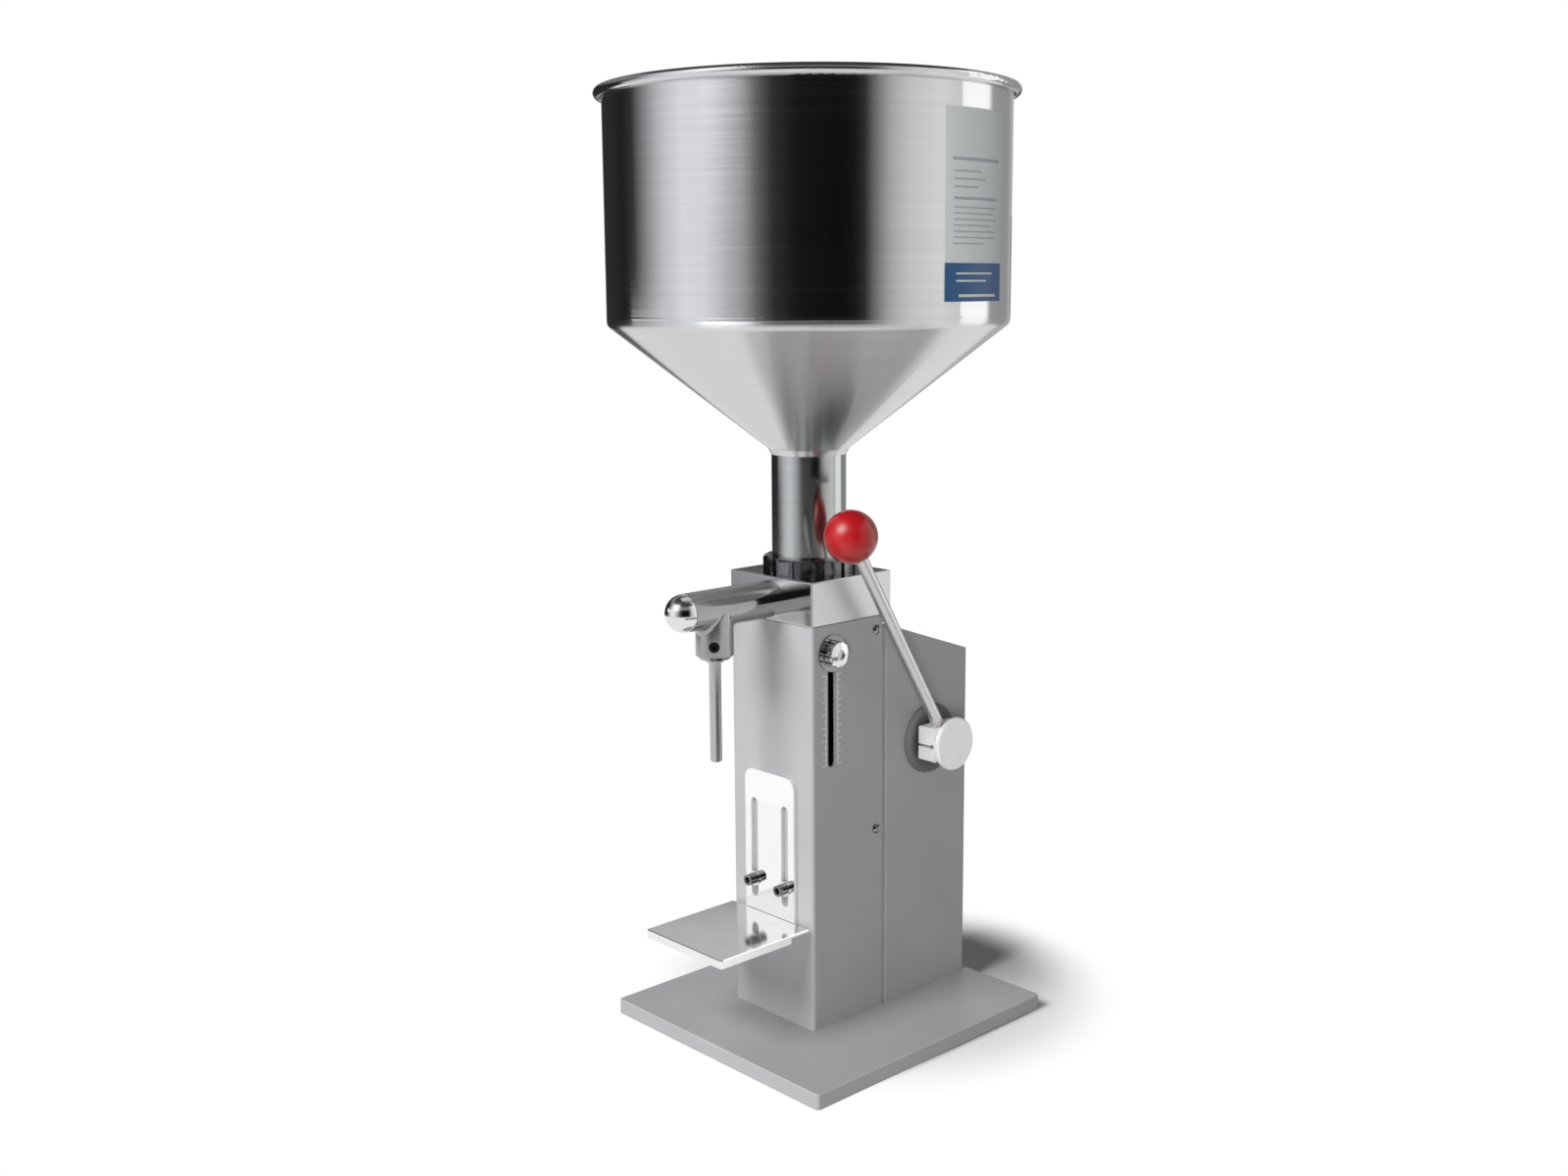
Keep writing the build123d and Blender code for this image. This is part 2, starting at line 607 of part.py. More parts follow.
def hopper_wall():
    """Rolled sheet cylinder with a bead turned outwards at its rim."""
    inner_r = HOPPER_R - HOPPER_SHEET
    bottom = CONE_TOP + CONE_SKIRT
    bead = (HOPPER_SHEET + RIM_OVERHANG) / 2
    middle = inner_r + bead
    under = math.acos((HOPPER_R - middle) / bead)

    def on_bead(angle):
        return (middle + bead * math.cos(angle), RIM_TOP - bead + bead * math.sin(angle))
    over_rim = [on_bead(angle) for angle in (math.pi, math.pi / 2, 0)]
    back_in = [on_bead(angle) for angle in (0, -under / 2, -under)]
    outline = [Line((inner_r, bottom), over_rim[0]), ThreePointArc(*over_rim), ThreePointArc(*back_in),
               Line(back_in[2], (HOPPER_R, bottom)), Line((HOPPER_R, bottom), (inner_r, bottom))]
    return revolve(Plane.XZ * make_face(outline), Axis.Z)


def hopper_cone():
    """Spun cone with a straight skirt under the wall and a weld fillet round the neck."""
    slope = math.atan2(CONE_H, HOPPER_R - NECK_R)
    skin = HOPPER_SHEET / math.cos(slope)
    knee = CONE_TOP + HOPPER_SHEET * math.tan(math.pi / 4 - slope / 2)
    inner_r = HOPPER_R - HOPPER_SHEET
    top = CONE_TOP + CONE_SKIRT
    neck = NECK_R + SEAT
    low = CONE_BOTTOM + SEAT * math.tan(slope)
    cone = turned([(neck, low), (HOPPER_R, CONE_TOP), (HOPPER_R, top), (inner_r, top), (inner_r, knee),
                   (neck, low + skin)])
    bends = [edge for edge in cone.edges().filter_by(GeomType.CIRCLE)
             if CONE_TOP - HOPPER_SHEET < edge.center().Z < CONE_TOP + HOPPER_SHEET]
    cone = fillet(bends, HOPPER_BEND)
    return cone + turned([(neck, CONE_BOTTOM - WELD), (neck + WELD, CONE_BOTTOM + WELD * math.tan(slope)),
                          (neck, low + skin / 2)])


def hopper_neck():
    top = CONE_BOTTOM + HOPPER_SHEET
    inner = NECK_R - NECK_WALL
    flange_top = NECK_BOTTOM + NECK_FLANGE_T
    return turned([(inner, NECK_BOTTOM), (NECK_FLANGE_R, NECK_BOTTOM), (NECK_FLANGE_R, flange_top),
                   (NECK_R, flange_top), (NECK_R, top), (inner, top)])


def hopper_gasket():
    return rod_z(NECK_FLANGE_R, (SPIGOT_TOP, NECK_BOTTOM)) - rod_z(SPIDER_BORE_R, (SPIGOT_TOP - 1, NECK_BOTTOM + 1))


def ring_nut():
    """Notched ring nut that pulls the neck's flange down on the head's spigot."""
    bottom = HEAD_TOP + SLIDE
    under_lip = NECK_BOTTOM + NECK_FLANGE_T + SEAT
    thread_r = SPIGOT_R + THREAD
    lip_r = NECK_R + SLIDE
    bevel = NUT_LIP / 2
    nut = turned([(thread_r, bottom), (NUT_R, bottom), (NUT_R, NUT_TOP - bevel), (NUT_R - bevel, NUT_TOP),
                  (lip_r, NUT_TOP), (lip_r, under_lip), (thread_r, under_lip)])
    notch = box((NUT_R - NUT_NOTCH_DEPTH, NUT_R + 1), (-NUT_NOTCH_W / 2, NUT_NOTCH_W / 2), (bottom - 1, NUT_TOP + 1))
    for n in range(NUT_NOTCHES):
        nut -= Rot(0, 0, 360 * n / NUT_NOTCHES) * notch
    return nut


# Wound springs
def biarc(start, start_way, end, end_way):
    """Two tangent arcs between two points with given directions."""
    gap = end - start
    ways = start_way + end_way
    a = ways.dot(ways) - 4
    b = -2 * gap.dot(ways)
    c = gap.dot(gap)
    reach = (-b - math.sqrt(b * b - 4 * a * c)) / (2 * a)
    middle = (start + start_way * reach + end - end_way * reach) / 2
    first = TangentArc(start, middle, tangent=start_way)
    return [first, TangentArc(middle, end, tangent=first % 1)]


def coil_spring(radius, wire, turns, length):
    """Helical spring about Z from 0 to its length, in quarter turns of two arcs each."""
    quarters = 4 * turns
    climb = (length - wire) / quarters

    def point(n):
        angle = math.pi / 2 * n
        return Vector(radius * math.cos(angle), radius * math.sin(angle), wire / 2 + climb * n)

    def way(n):
        angle = math.pi / 2 * n
        rise = climb / (math.pi / 2)
        return Vector(-radius * math.sin(angle), radius * math.cos(angle), rise).normalized()
    arcs = []
    for n in range(quarters):
        arcs += biarc(point(n), way(n), point(n + 1), way(n + 1))
    path = Wire(arcs)
    turn_apart = [(point(n + 4) - point(n)).length - wire for n in range(quarters - 3)]
    print(f"spring of {turns} turns: least gap {min(turn_apart):.2f} mm")
    return sweep(Plane(origin=path @ 0, z_dir=path % 0) * Circle(wire / 2), path=path)


# Inlet valve under the hopper
def inlet_spider():
    outer = SPIDER_BORE_R - SEAT
    spider = rod_z(outer, (SPIDER_SEAT, SPIDER_SEAT + SPIDER_T))
    spider -= rod_z(outer - SPIDER_RING, (SPIDER_SEAT - 1, SPIDER_SEAT + SPIDER_T + 1))
    arm = box((0, outer - SPIDER_RING / 2), (-SPIDER_ARM_W / 2, SPIDER_ARM_W / 2), (SPIDER_SEAT, SPIDER_SEAT + SPIDER_T))
    for n in range(SPIDER_ARMS):
        spider += Rot(0, 0, 360 * n / SPIDER_ARMS) * arm
    boss_bottom = SPIDER_TOP - SPIDER_BOSS_H
    spider += rod_z(SPIDER_BOSS_R, (boss_bottom, SPIDER_TOP))
    return spider - rod_z(INLET_STEM_R + RUN, (boss_bottom - 1, SPIDER_TOP + 1))


def inlet_valve():
    """Flat-faced poppet that shuts the hopper's port from below, on a stem that the spider guides."""
    top = CHAMBER_TOP - SEAT
    bottom = top - INLET_HEAD_T
    stem_top = INLET_CAP_BOTTOM + INLET_CAP_T
    return turned([(0, bottom), (INLET_HEAD_R * 0.7, bottom), (INLET_HEAD_R, bottom + INLET_HEAD_T / 2),
                   (INLET_HEAD_R, top), (INLET_STEM_R, top), (INLET_STEM_R, stem_top), (0, stem_top)])


def inlet_spring():
    return Pos(0, 0, SPIDER_TOP) * coil_spring(INLET_SPRING_R, INLET_SPRING_WIRE, INLET_SPRING_TURNS, INLET_SPRING_L)


def inlet_spring_cap():
    top = INLET_CAP_BOTTOM + INLET_CAP_T
    blank = turned([(INLET_STEM_R + THREAD, INLET_CAP_BOTTOM), (INLET_CAP_R, INLET_CAP_BOTTOM),
                    (INLET_CAP_R, top - 1), (INLET_CAP_R - 1, top), (INLET_STEM_R + THREAD, top)])
    return blank


# Outlet
def outlet_tee():
    """Tee with the valve chamber in its run and the nozzle socket in its branch."""
    run = rod_y(TEE_R, (TEE_END, COLUMN_FRONT - SEAT), 0, OUTLET_Z)
    branch = rod_z(SOCKET_R, (SOCKET_END, OUTLET_Z), 0, SOCKET_Y)
    tee = run + branch
    joint = [edge for edge in tee.edges() if edge.geom_type not in (GeomType.CIRCLE, GeomType.LINE)]
    tee = fillet(joint, TEE_BLEND)
    rim = [edge for edge in tee.edges().filter_by(GeomType.CIRCLE) if abs(edge.center().Z - SOCKET_END) < 0.01]
    tee = chamfer(rim, SOCKET_CHAMFER)
    tee += rod_y(OUTLET_SPIGOT_R, (COLUMN_FRONT - 1, COLUMN_FRONT + OUTLET_SPIGOT_L), 0, OUTLET_Z)
    seat_y = COLUMN_FRONT - TEE_SEAT_AT
    tee -= rod_y(TEE_SEAT_R, (seat_y - 1, COLUMN_FRONT + OUTLET_SPIGOT_L + 1), 0, OUTLET_Z)
    tee -= rod_y(TEE_BORE_R, (TEE_END - 1, seat_y), 0, OUTLET_Z)
    tee -= rod_y(CAP_THREAD_R + THREAD, (TEE_END - 1, TEE_END + CAP_THREAD_L + SEAT), 0, OUTLET_Z)
    tee -= rod_z(NOZZLE_BORE_R, (SOCKET_END, OUTLET_Z), 0, SOCKET_Y)
    tee -= rod_z(NOZZLE_R + RUN, (SOCKET_END - 1, SOCKET_END + NOZZLE_GRIP + SEAT), 0, SOCKET_Y)
    return tee - nozzle_screw_place() * rod_z(NOZZLE_SCREW / 2 + THREAD, (NOZZLE_R, SOCKET_R + 1))


def nozzle_screw_place():
    """Turns a piece along Z to point out of the socket's side, from the nozzle's axis."""
    return Pos(0, SOCKET_Y, SOCKET_END + NOZZLE_SCREW_UP) * Rot(0, 0, NOZZLE_SCREW_ANGLE) * Rot(0, 90, 0)


def nozzle_screw():
    start = NOZZLE_R + SEAT
    return nozzle_screw_place() * Pos(0, 0, start) * set_screw(NOZZLE_SCREW, SOCKET_R - NOZZLE_SCREW_SUNK - start)


def outlet_cap():
    """Domed cap on the end of the tee, with a thread and a guide bore for the valve's stem."""
    dome = Sphere(TEE_R) & box((-TEE_R, TEE_R), (-TEE_R, 0), (-TEE_R, TEE_R))
    cap = Pos(0, TEE_END - CAP_GROOVE, OUTLET_Z) * dome
    thread_end = TEE_END + CAP_THREAD_L
    cap += rod_y(CAP_THREAD_R, (TEE_END - CAP_GROOVE - 1, thread_end), 0, OUTLET_Z)
    return cap - rod_y(OUTLET_STEM_R + RUN, (thread_end - OUTLET_STEM_BORE_L, thread_end + 1), 0, OUTLET_Z)


def outlet_valve():
    """Poppet that shuts the tee's seat from the nozzle side, on a stem that slides in the cap."""
    top = COLUMN_FRONT - TEE_SEAT_AT - SEAT
    nose = 1.5
    profile = turned([(0, -nose), (TEE_SEAT_R - 1.5, -nose), (TEE_SEAT_R - 0.5, 0), (OUTLET_HEAD_R, 0),
                      (OUTLET_HEAD_R, OUTLET_HEAD_T), (OUTLET_STEM_R, OUTLET_HEAD_T),
                      (OUTLET_STEM_R, OUTLET_HEAD_T + OUTLET_STEM_L), (0, OUTLET_HEAD_T + OUTLET_STEM_L)])
    return Pos(0, top, OUTLET_Z) * Rot(90, 0, 0) * profile


def outlet_spring():
    start = COLUMN_FRONT - TEE_SEAT_AT - SEAT - OUTLET_HEAD_T
    length = start - (TEE_END + CAP_THREAD_L)
    spring = coil_spring(OUTLET_SPRING_R, OUTLET_SPRING_WIRE, OUTLET_SPRING_TURNS, length)
    return Pos(0, start, OUTLET_Z) * Rot(90, 0, 0) * spring


def nozzle():
    top = SOCKET_END + NOZZLE_GRIP
    collar_top = SOCKET_END - SEAT
    collar_bottom = collar_top - NOZZLE_COLLAR_T
    bevel = 0.6
    tube = turned([(NOZZLE_BORE_R, NOZZLE_TIP), (NOZZLE_R - bevel, NOZZLE_TIP), (NOZZLE_R, NOZZLE_TIP + bevel),
                   (NOZZLE_R, collar_bottom), (NOZZLE_COLLAR_R, collar_bottom), (NOZZLE_COLLAR_R, collar_top),
                   (NOZZLE_R, collar_top), (NOZZLE_R, top), (NOZZLE_BORE_R, top)])
    return Pos(0, SOCKET_Y, 0) * tube


# Cylinder and piston
def cylinder():
    tube = rod_z(CYLINDER_R, (CYLINDER_BOTTOM, CYLINDER_TOP))
    tube += rod_z(CYLINDER_FLANGE_R, (CYLINDER_TOP - CYLINDER_FLANGE_T, CYLINDER_TOP))
    tube -= rod_z(BORE / 2, (CYLINDER_BOTTOM - 1, CYLINDER_TOP + 1))
    for x, y in cylinder_screw_places():
        tube -= rod_z(CYLINDER_SCREW / 2 + SLIDE, (CYLINDER_BOTTOM, CYLINDER_TOP + 1), x, y)
    return tube


def cylinder_gasket():
    gasket = rod_z(CYLINDER_FLANGE_R, (CYLINDER_TOP, COLUMN_TOP))
    gasket -= rod_z(CHAMBER_R, (CYLINDER_TOP - 1, COLUMN_TOP + 1))
    for x, y in cylinder_screw_places():
        gasket -= rod_z(CYLINDER_SCREW / 2 + SLIDE, (CYLINDER_TOP - 1, COLUMN_TOP + 1), x, y)
    return gasket


def cylinder_screws():
    z = CYLINDER_TOP - CYLINDER_FLANGE_T
    return [Pos(x, y, z) * cap_screw(CYLINDER_SCREW, CYLINDER_SCREW_L) for x, y in cylinder_screw_places()]


def seal_bottoms():
    return (PISTON_BOTTOM + SEAL_FROM_END, PISTON_TOP - SEAL_FROM_END - SEAL_W)


def piston():
    body = rod_z(BORE / 2 - RUN, (PISTON_BOTTOM, PISTON_TOP))
    body = chamfer(body.edges().filter_by(GeomType.CIRCLE), 0.8)
    groove_r = BORE / 2 - SEAL_DEPTH
    for z in seal_bottoms():
        span = (z, z + SEAL_W)
        body -= rod_z(BORE, span) - rod_z(groove_r, span)
    body -= rod_z(ROD_TOP_R + THREAD, (PISTON_BOTTOM - 1, PISTON_TOP + 1))
    return body - rod_z(2.2 * ROD_TOP_R, (PISTON_TOP - PISTON_RECESS_H, PISTON_TOP + 1))


def piston_seals():
    outer = BORE / 2 - RUN / 2
    inner = BORE / 2 - SEAL_DEPTH + SEAT
    rings = []
    for z in seal_bottoms():
        span = (z + SEAT, z + SEAL_W - SEAT)
        rings.append(rod_z(outer, span) - rod_z(inner, span))
    return rings


def piston_rod():
    top = PISTON_TOP - PISTON_RECESS_H + PISTON_NUT_H
    end = FOOT_BOTTOM - ROD_NUT_H - 1.0
    return turned([(0, end), (ROD_FOOT_R, end), (ROD_FOOT_R, FOOT_TOP), (ROD_R, FOOT_TOP),
                   (ROD_R, PISTON_BOTTOM), (ROD_TOP_R, PISTON_BOTTOM), (ROD_TOP_R, top), (0, top)])


def piston_nut():
    return Pos(0, 0, PISTON_TOP - PISTON_RECESS_H) * hex_nut(2 * ROD_TOP_R, PISTON_NUT_H)


def rod_nut():
    return Pos(0, 0, FOOT_BOTTOM - ROD_NUT_H) * hex_nut(2 * ROD_FOOT_R, ROD_NUT_H)


# Lever drive
def drive_plane(x=0.0):
    """Plane square to the shaft, drawn forward (first) and up (second) from the shaft's axis."""
    return Plane(origin=(x, SHAFT_Y, SHAFT_Z), x_dir=(0, -1, 0), z_dir=(-1, 0, 0))


def polar(radius, angle):
    return (radius * math.cos(angle), radius * math.sin(angle))


def sector_tooth(middle):
    """One involute tooth of the sector, as a face."""
    pressure = math.radians(PRESSURE_ANGLE)
    base_r = PITCH_R * math.cos(pressure)
    half_pitch = (TOOTH_PITCH / 4 - BACKLASH) / PITCH_R

    def half(radius):
        turn = math.acos(base_r / radius)
        return half_pitch + math.tan(pressure) - pressure - math.tan(turn) + turn
    radii = (PITCH_R - DEDENDUM, PITCH_R, PITCH_R + MODULE)
    left = [polar(r, middle - half(r)) for r in radii]
    right = [polar(r, middle + half(r)) for r in radii]
    root = PITCH_R - DEDENDUM - MODULE / 2
    low_left = polar(root, middle - half(radii[0]))
    low_right = polar(root, middle + half(radii[0]))
    edges = [ThreePointArc(*left), Line(left[2], right[2]), ThreePointArc(*reversed(right)),
             Line(right[0], low_right), Line(low_right, low_left), Line(low_left, left[0])]
    return make_face(edges)


def toothed_sector():
    """Sector with a tooth space facing the rack at rest, toothed through the whole swing."""
    tooth_angle = 2 * math.pi / SECTOR_TEETH
    count = 4 + math.ceil(math.radians(LEVER_SWING) / tooth_angle)
    middles = [tooth_angle * (n - 1.5) for n in range(count)]
    root_r = PITCH_R - DEDENDUM
    first, last = middles[0] - tooth_angle / 2, middles[-1] + tooth_angle / 2
    rim = [polar(root_r, first), polar(root_r, (first + last) / 2), polar(root_r, last)]
    outline = [Line((0, 0), rim[0]), ThreePointArc(*rim), Line(rim[2], (0, 0))]
    plane = drive_plane()
    sector = extrude(plane * make_face(outline), SECTOR_T / 2, both=True)
    for middle in middles:
        sector += extrude(plane * sector_tooth(middle), SECTOR_T / 2, both=True)
    sector += rod_x(SECTOR_HUB_R, (-SECTOR_HUB_L / 2, SECTOR_HUB_L / 2), SHAFT_Y, SHAFT_Z)
    sector -= rod_x(SHAFT_R + SEAT, (-SECTOR_HUB_L, SECTOR_HUB_L), SHAFT_Y, SHAFT_Z)
    pin_z = (SHAFT_Z - 2 * SECTOR_HUB_R, SHAFT_Z + 2 * SECTOR_HUB_R)
    return sector - rod_z(SECTOR_PIN_R + SEAT, pin_z, SECTOR_PIN_AT, SHAFT_Y)


def sector_pin():
    reach = SECTOR_HUB_R - 1.0
    return rod_z(SECTOR_PIN_R, (SHAFT_Z - reach, SHAFT_Z + reach), SECTOR_PIN_AT, SHAFT_Y)


def rack():
    """Rack beside the cylinder, on a foot that the piston rod stands in."""
    half = TOOTH_PITCH / 4 - BACKLASH
    lean = math.tan(math.radians(PRESSURE_ANGLE))
    low, high = RACK_LOW - SHAFT_Z, RACK_HIGH - SHAFT_Z
    tip, root = PITCH_R - MODULE, PITCH_R + DEDENDUM
    back = root + RACK_BODY
    first = math.ceil(low / TOOTH_PITCH + 0.5)
    last = math.floor(high / TOOTH_PITCH - 0.5)
    outline = [(back, low), (root, low)]
    for n in range(first, last + 1):
        middle = n * TOOTH_PITCH
        wide, narrow = half + DEDENDUM * lean, half - MODULE * lean
        outline += [(root, middle - wide), (tip, middle - narrow), (tip, middle + narrow), (root, middle + wide)]
    outline += [(root, high), (back, high)]
    bar = extrude(drive_plane() * make_face(Polyline(*outline, close=True)), RACK_W / 2, both=True)
    reach = RACK_FOOT_W / 2
    foot_z = (FOOT_BOTTOM, FOOT_TOP)
    bar += box((-reach, reach), (-reach, RACK_ROOT_Y - RACK_BODY / 2), foot_z)
    arm = POST_R + 1.0
    bar += box((0, POST_X + arm), (STOP_Y - arm, 0), foot_z)
    bar -= rod_z(ROD_FOOT_R + THREAD, (FOOT_BOTTOM - 1, FOOT_TOP + 1))
    return bar - rod_z(POST_R * 0.75 + THREAD, (FOOT_BOTTOM - 1, FOOT_TOP + 1), POST_X, STOP_Y)


def stop_post():
    """Post on the rack's foot that comes up beside the stroke stop."""
    top = STOP_Z - STOP_BLOCK_H / 2 - STOP_FINGER_GAP
    post = rod_z(POST_R, (FOOT_TOP, top), POST_X, STOP_Y)
    return post + rod_z(POST_R * 0.75, (FOOT_BOTTOM, FOOT_TOP + 1), POST_X, STOP_Y)


def guide_z():
    low = CYLINDER_BOTTOM + GUIDE_UP
    return (low, low + GUIDE_H)


def rack_guide():
    """Clamp round the cylinder's lower end with a channel that the rack slides in."""
    span = guide_z()
    channel = RACK_W / 2 + SLIDE
    cheek = channel + GUIDE_CHEEK
    guide = rod_z(CYLINDER_R + GUIDE_WALL, span)
    guide += box((-cheek, cheek), (0, RACK_ROOT_Y), span)
    guide -= rod_z(CYLINDER_R + SEAT, (span[0] - 1, span[1] + 1))
    guide -= box((-channel, channel), (RACK_FRONT_Y - SLIDE, RACK_ROOT_Y + 1), (span[0] - 1, span[1] + 1))
    middle = sum(span) / 2
    outer = CYLINDER_R + GUIDE_WALL + 1
    return guide - rod_y(GUIDE_SCREW / 2 + THREAD, (-outer, 0), 0, middle)


def guide_screw():
    length = GUIDE_WALL
    return Pos(0, -CYLINDER_R - SEAT, sum(guide_z()) / 2) * Rot(90, 0, 0) * set_screw(GUIDE_SCREW, length)


# Lever shaft and its bearings
def bearing_bracket(side):
    """Tapered upright plate with a foot under it and a boss for the bush."""
    half = BRACKET_FOOT_D / 2
    shoulder = BASE_TOP + 2 * BRACKET_FOOT_T
    outline = Polyline((SHAFT_Y - half, BASE_TOP), (SHAFT_Y + half, BASE_TOP), (SHAFT_Y + half, shoulder),
                       (SHAFT_Y + BRACKET_HEAD_R, SHAFT_Z), (SHAFT_Y - BRACKET_HEAD_R, SHAFT_Z),
                       (SHAFT_Y - half, shoulder), close=True)
    plate = extrude(side_plane(BRACKET_IN) * make_face(outline), BRACKET_T)
    plate += rod_x(BRACKET_HEAD_R, (BRACKET_IN, BRACKET_OUT), SHAFT_Y, SHAFT_Z)
    plate += rod_x(BOSS_R, (BRACKET_IN - BOSS_T, BRACKET_OUT), SHAFT_Y, SHAFT_Z)
    foot_x = (BRACKET_IN - BRACKET_FOOT_W, BRACKET_OUT)
    plate += box(foot_x, (SHAFT_Y - half, SHAFT_Y + half), (BASE_TOP, BASE_TOP + BRACKET_FOOT_T))
    plate -= rod_x(SHAFT_R + BUSH_WALL + SEAT / 2, (0, WALL_X), SHAFT_Y, SHAFT_Z)
    window_z = (shoulder + SHAFT_Z - BRACKET_HEAD_R) / 2
    plate -= rod_x(BRACKET_WINDOW_R, (0, WALL_X), SHAFT_Y, window_z)
    for x, y in bracket_screw_places():
        plate -= rod_z(FOOT_SCREW / 2 + THREAD, (BASE_TOP - 1, BASE_TOP + BRACKET_FOOT_T + 1), x, y)
    return plate if side > 0 else mirror(plate, Plane.YZ)


def bracket_screws():
    sunk = FOOT_SCREW + FOOT_SCREW_SUNK
    length = PLATE_T - sunk + BRACKET_FOOT_T
    return [Pos(x, y, sunk) * cap_screw(FOOT_SCREW, length) for x, y in bracket_screw_places()]


def shaft_bushes():
    """Flanged bushes, pushed into the brackets from outside."""
    sleeve = rod_x(SHAFT_R + BUSH_WALL, (BRACKET_IN - BOSS_T, BUSH_END), SHAFT_Y, SHAFT_Z)
    sleeve += rod_x(BUSH_FLANGE_R, (BRACKET_OUT + SEAT, BUSH_END), SHAFT_Y, SHAFT_Z)
    sleeve -= rod_x(SHAFT_R + RUN, (0, WALL_X), SHAFT_Y, SHAFT_Z)
    return [sleeve, mirror(sleeve, Plane.YZ)]


def circlip_x():
    outer = -BUSH_END - SLIDE
    return (outer - CIRCLIP_T, outer)


def lever_shaft():
    left = circlip_x()[0] - SHAFT_TAIL
    shaft = rod_x(SHAFT_R, (left, HUB_OUT - HUB_FACE - SLIDE), SHAFT_Y, SHAFT_Z)
    groove = rod_x(SHAFT_R + 1, circlip_x(), SHAFT_Y, SHAFT_Z)
    shaft -= groove - rod_x(SHAFT_R - CIRCLIP_GROOVE, circlip_x(), SHAFT_Y, SHAFT_Z)
    pin_z = (SHAFT_Z - SHAFT_R - 1, SHAFT_Z + SHAFT_R + 1)
    return shaft - rod_z(SECTOR_PIN_R + SEAT, pin_z, SECTOR_PIN_AT, SHAFT_Y)


def shaft_circlip():
    """Open ring in the groove at the shaft's left end."""
    x = circlip_x()
    span = (x[0] + SEAT, x[1] - SEAT)
    clip = rod_x(CIRCLIP_R, span, SHAFT_Y, SHAFT_Z)
    clip -= rod_x(SHAFT_R - CIRCLIP_GROOVE + SEAT, (x[0] - 1, x[1] + 1), SHAFT_Y, SHAFT_Z)
    return clip - box((x[0] - 1, x[1] + 1), (SHAFT_Y - 2, SHAFT_Y + 2), (SHAFT_Z - CIRCLIP_R - 1, SHAFT_Z))


def shaft_spacers():
    """Sleeves that keep the sector between the two bearings."""
    x = (SECTOR_HUB_L / 2 + SEAT, BRACKET_IN - BOSS_T - SLIDE)
    sleeve = rod_x(SHAFT_R + BUSH_WALL, x, SHAFT_Y, SHAFT_Z) - rod_x(SHAFT_R + SEAT, (0, WALL_X), SHAFT_Y, SHAFT_Z)
    return [sleeve, mirror(sleeve, Plane.YZ)]


def shaft_guard():
    """Round rubber guard pressed into the cover, clear of the turning shaft and the hub."""
    inner = WALL_X + SEAT
    guard = rod_x(GUARD_R, (inner, inner + GUARD_T), SHAFT_Y, SHAFT_Z)
    guard = fillet(guard.edges().filter_by(GeomType.CIRCLE).group_by(Axis.X)[-1], GUARD_EDGE)
    guard += rod_x(GUARD_SPIGOT_R, (inner - GUARD_SPIGOT_L, inner + GUARD_T), SHAFT_Y, SHAFT_Z)
    return guard - rod_x(SHAFT_R + GUARD_PLAY, (0, inner + GUARD_T + 1), SHAFT_Y, SHAFT_Z)


# Lever
def lever_hub():
    """Square clamp block with a round disc at its outer end, blind-bored for the shaft."""
    block_end = HUB_OUT - HUB_DISC_T
    foot = SHAFT_Z - HUB_BLOCK_DOWN
    depth = (SHAFT_Y - HUB_BLOCK_FRONT, SHAFT_Y + HUB_BLOCK_BACK)
    block = box((HUB_IN, block_end), depth, (foot, SHAFT_Z + HUB_BLOCK_UP))
    block = chamfer(block.edges().filter_by(Axis.X) + block.faces().sort_by(Axis.X)[0].edges(), HUB_CHAMFER)
    disc = rod_x(HUB_R, (block_end, HUB_OUT), SHAFT_Y, SHAFT_Z)
    hub = block + chamfer(disc.edges().filter_by(GeomType.CIRCLE), HUB_CHAMFER)
    hub -= rod_x(SHAFT_R + SEAT, (HUB_IN - 1, HUB_OUT - HUB_FACE), SHAFT_Y, SHAFT_Z)
    hub -= lever_bar(LEVER_ROD_R + THREAD, LEVER_ROD_INSET - SEAT, HUB_R + 1)
    slit_end = HUB_IN + HUB_SLIT_L
    front = (depth[0] - 1, SHAFT_Y)
    hub -= box((HUB_IN - 1, slit_end), front, (SHAFT_Z - HUB_SLIT / 2, SHAFT_Z + HUB_SLIT / 2))
    hub -= rod_y(HUB_SLIT_END_R, front, slit_end, SHAFT_Z)
    y = SHAFT_Y - HUB_SCREW_AT
    seat = SHAFT_Z - HUB_SCREW_SEAT
    hub -= rod_z(HUB_SCREW / 2 + THREAD, (seat - 1, SHAFT_Z + HUB_SCREW_REACH + 1.5), LEVER_X, y)
    return hub - rod_z(head_radius(HUB_SCREW) + 0.25, (foot - 1, seat), LEVER_X, y)


def hub_screw():
    """Clamp screw from below, across the hub's slit."""
    place = Pos(LEVER_X, SHAFT_Y - HUB_SCREW_AT, SHAFT_Z - HUB_SCREW_SEAT)
    return place * cap_screw(HUB_SCREW, HUB_SCREW_SEAT + HUB_SCREW_REACH)


def lever_rod():
    end = LEVER_L - BALL_FLAT + BALL_GRIP
    return lever_bar(LEVER_ROD_R, LEVER_ROD_INSET, end)


def ball_knob():
    """Ball with a flat where the rod screws in."""
    ball = Sphere(BALL_R) & box((-BALL_R, BALL_R), (-BALL_R, BALL_R), (-BALL_FLAT, BALL_R))
    ball -= rod_z(LEVER_ROD_R + THREAD, (-BALL_R, BALL_GRIP - BALL_FLAT + SEAT))
    return Pos(*lever_point(LEVER_L)) * Rot(LEVER_LEAN, 0, 0) * ball


# Stroke stop
def stop_block_inner_x():
    return POST_X + POST_R + STOP_FINGER_GAP


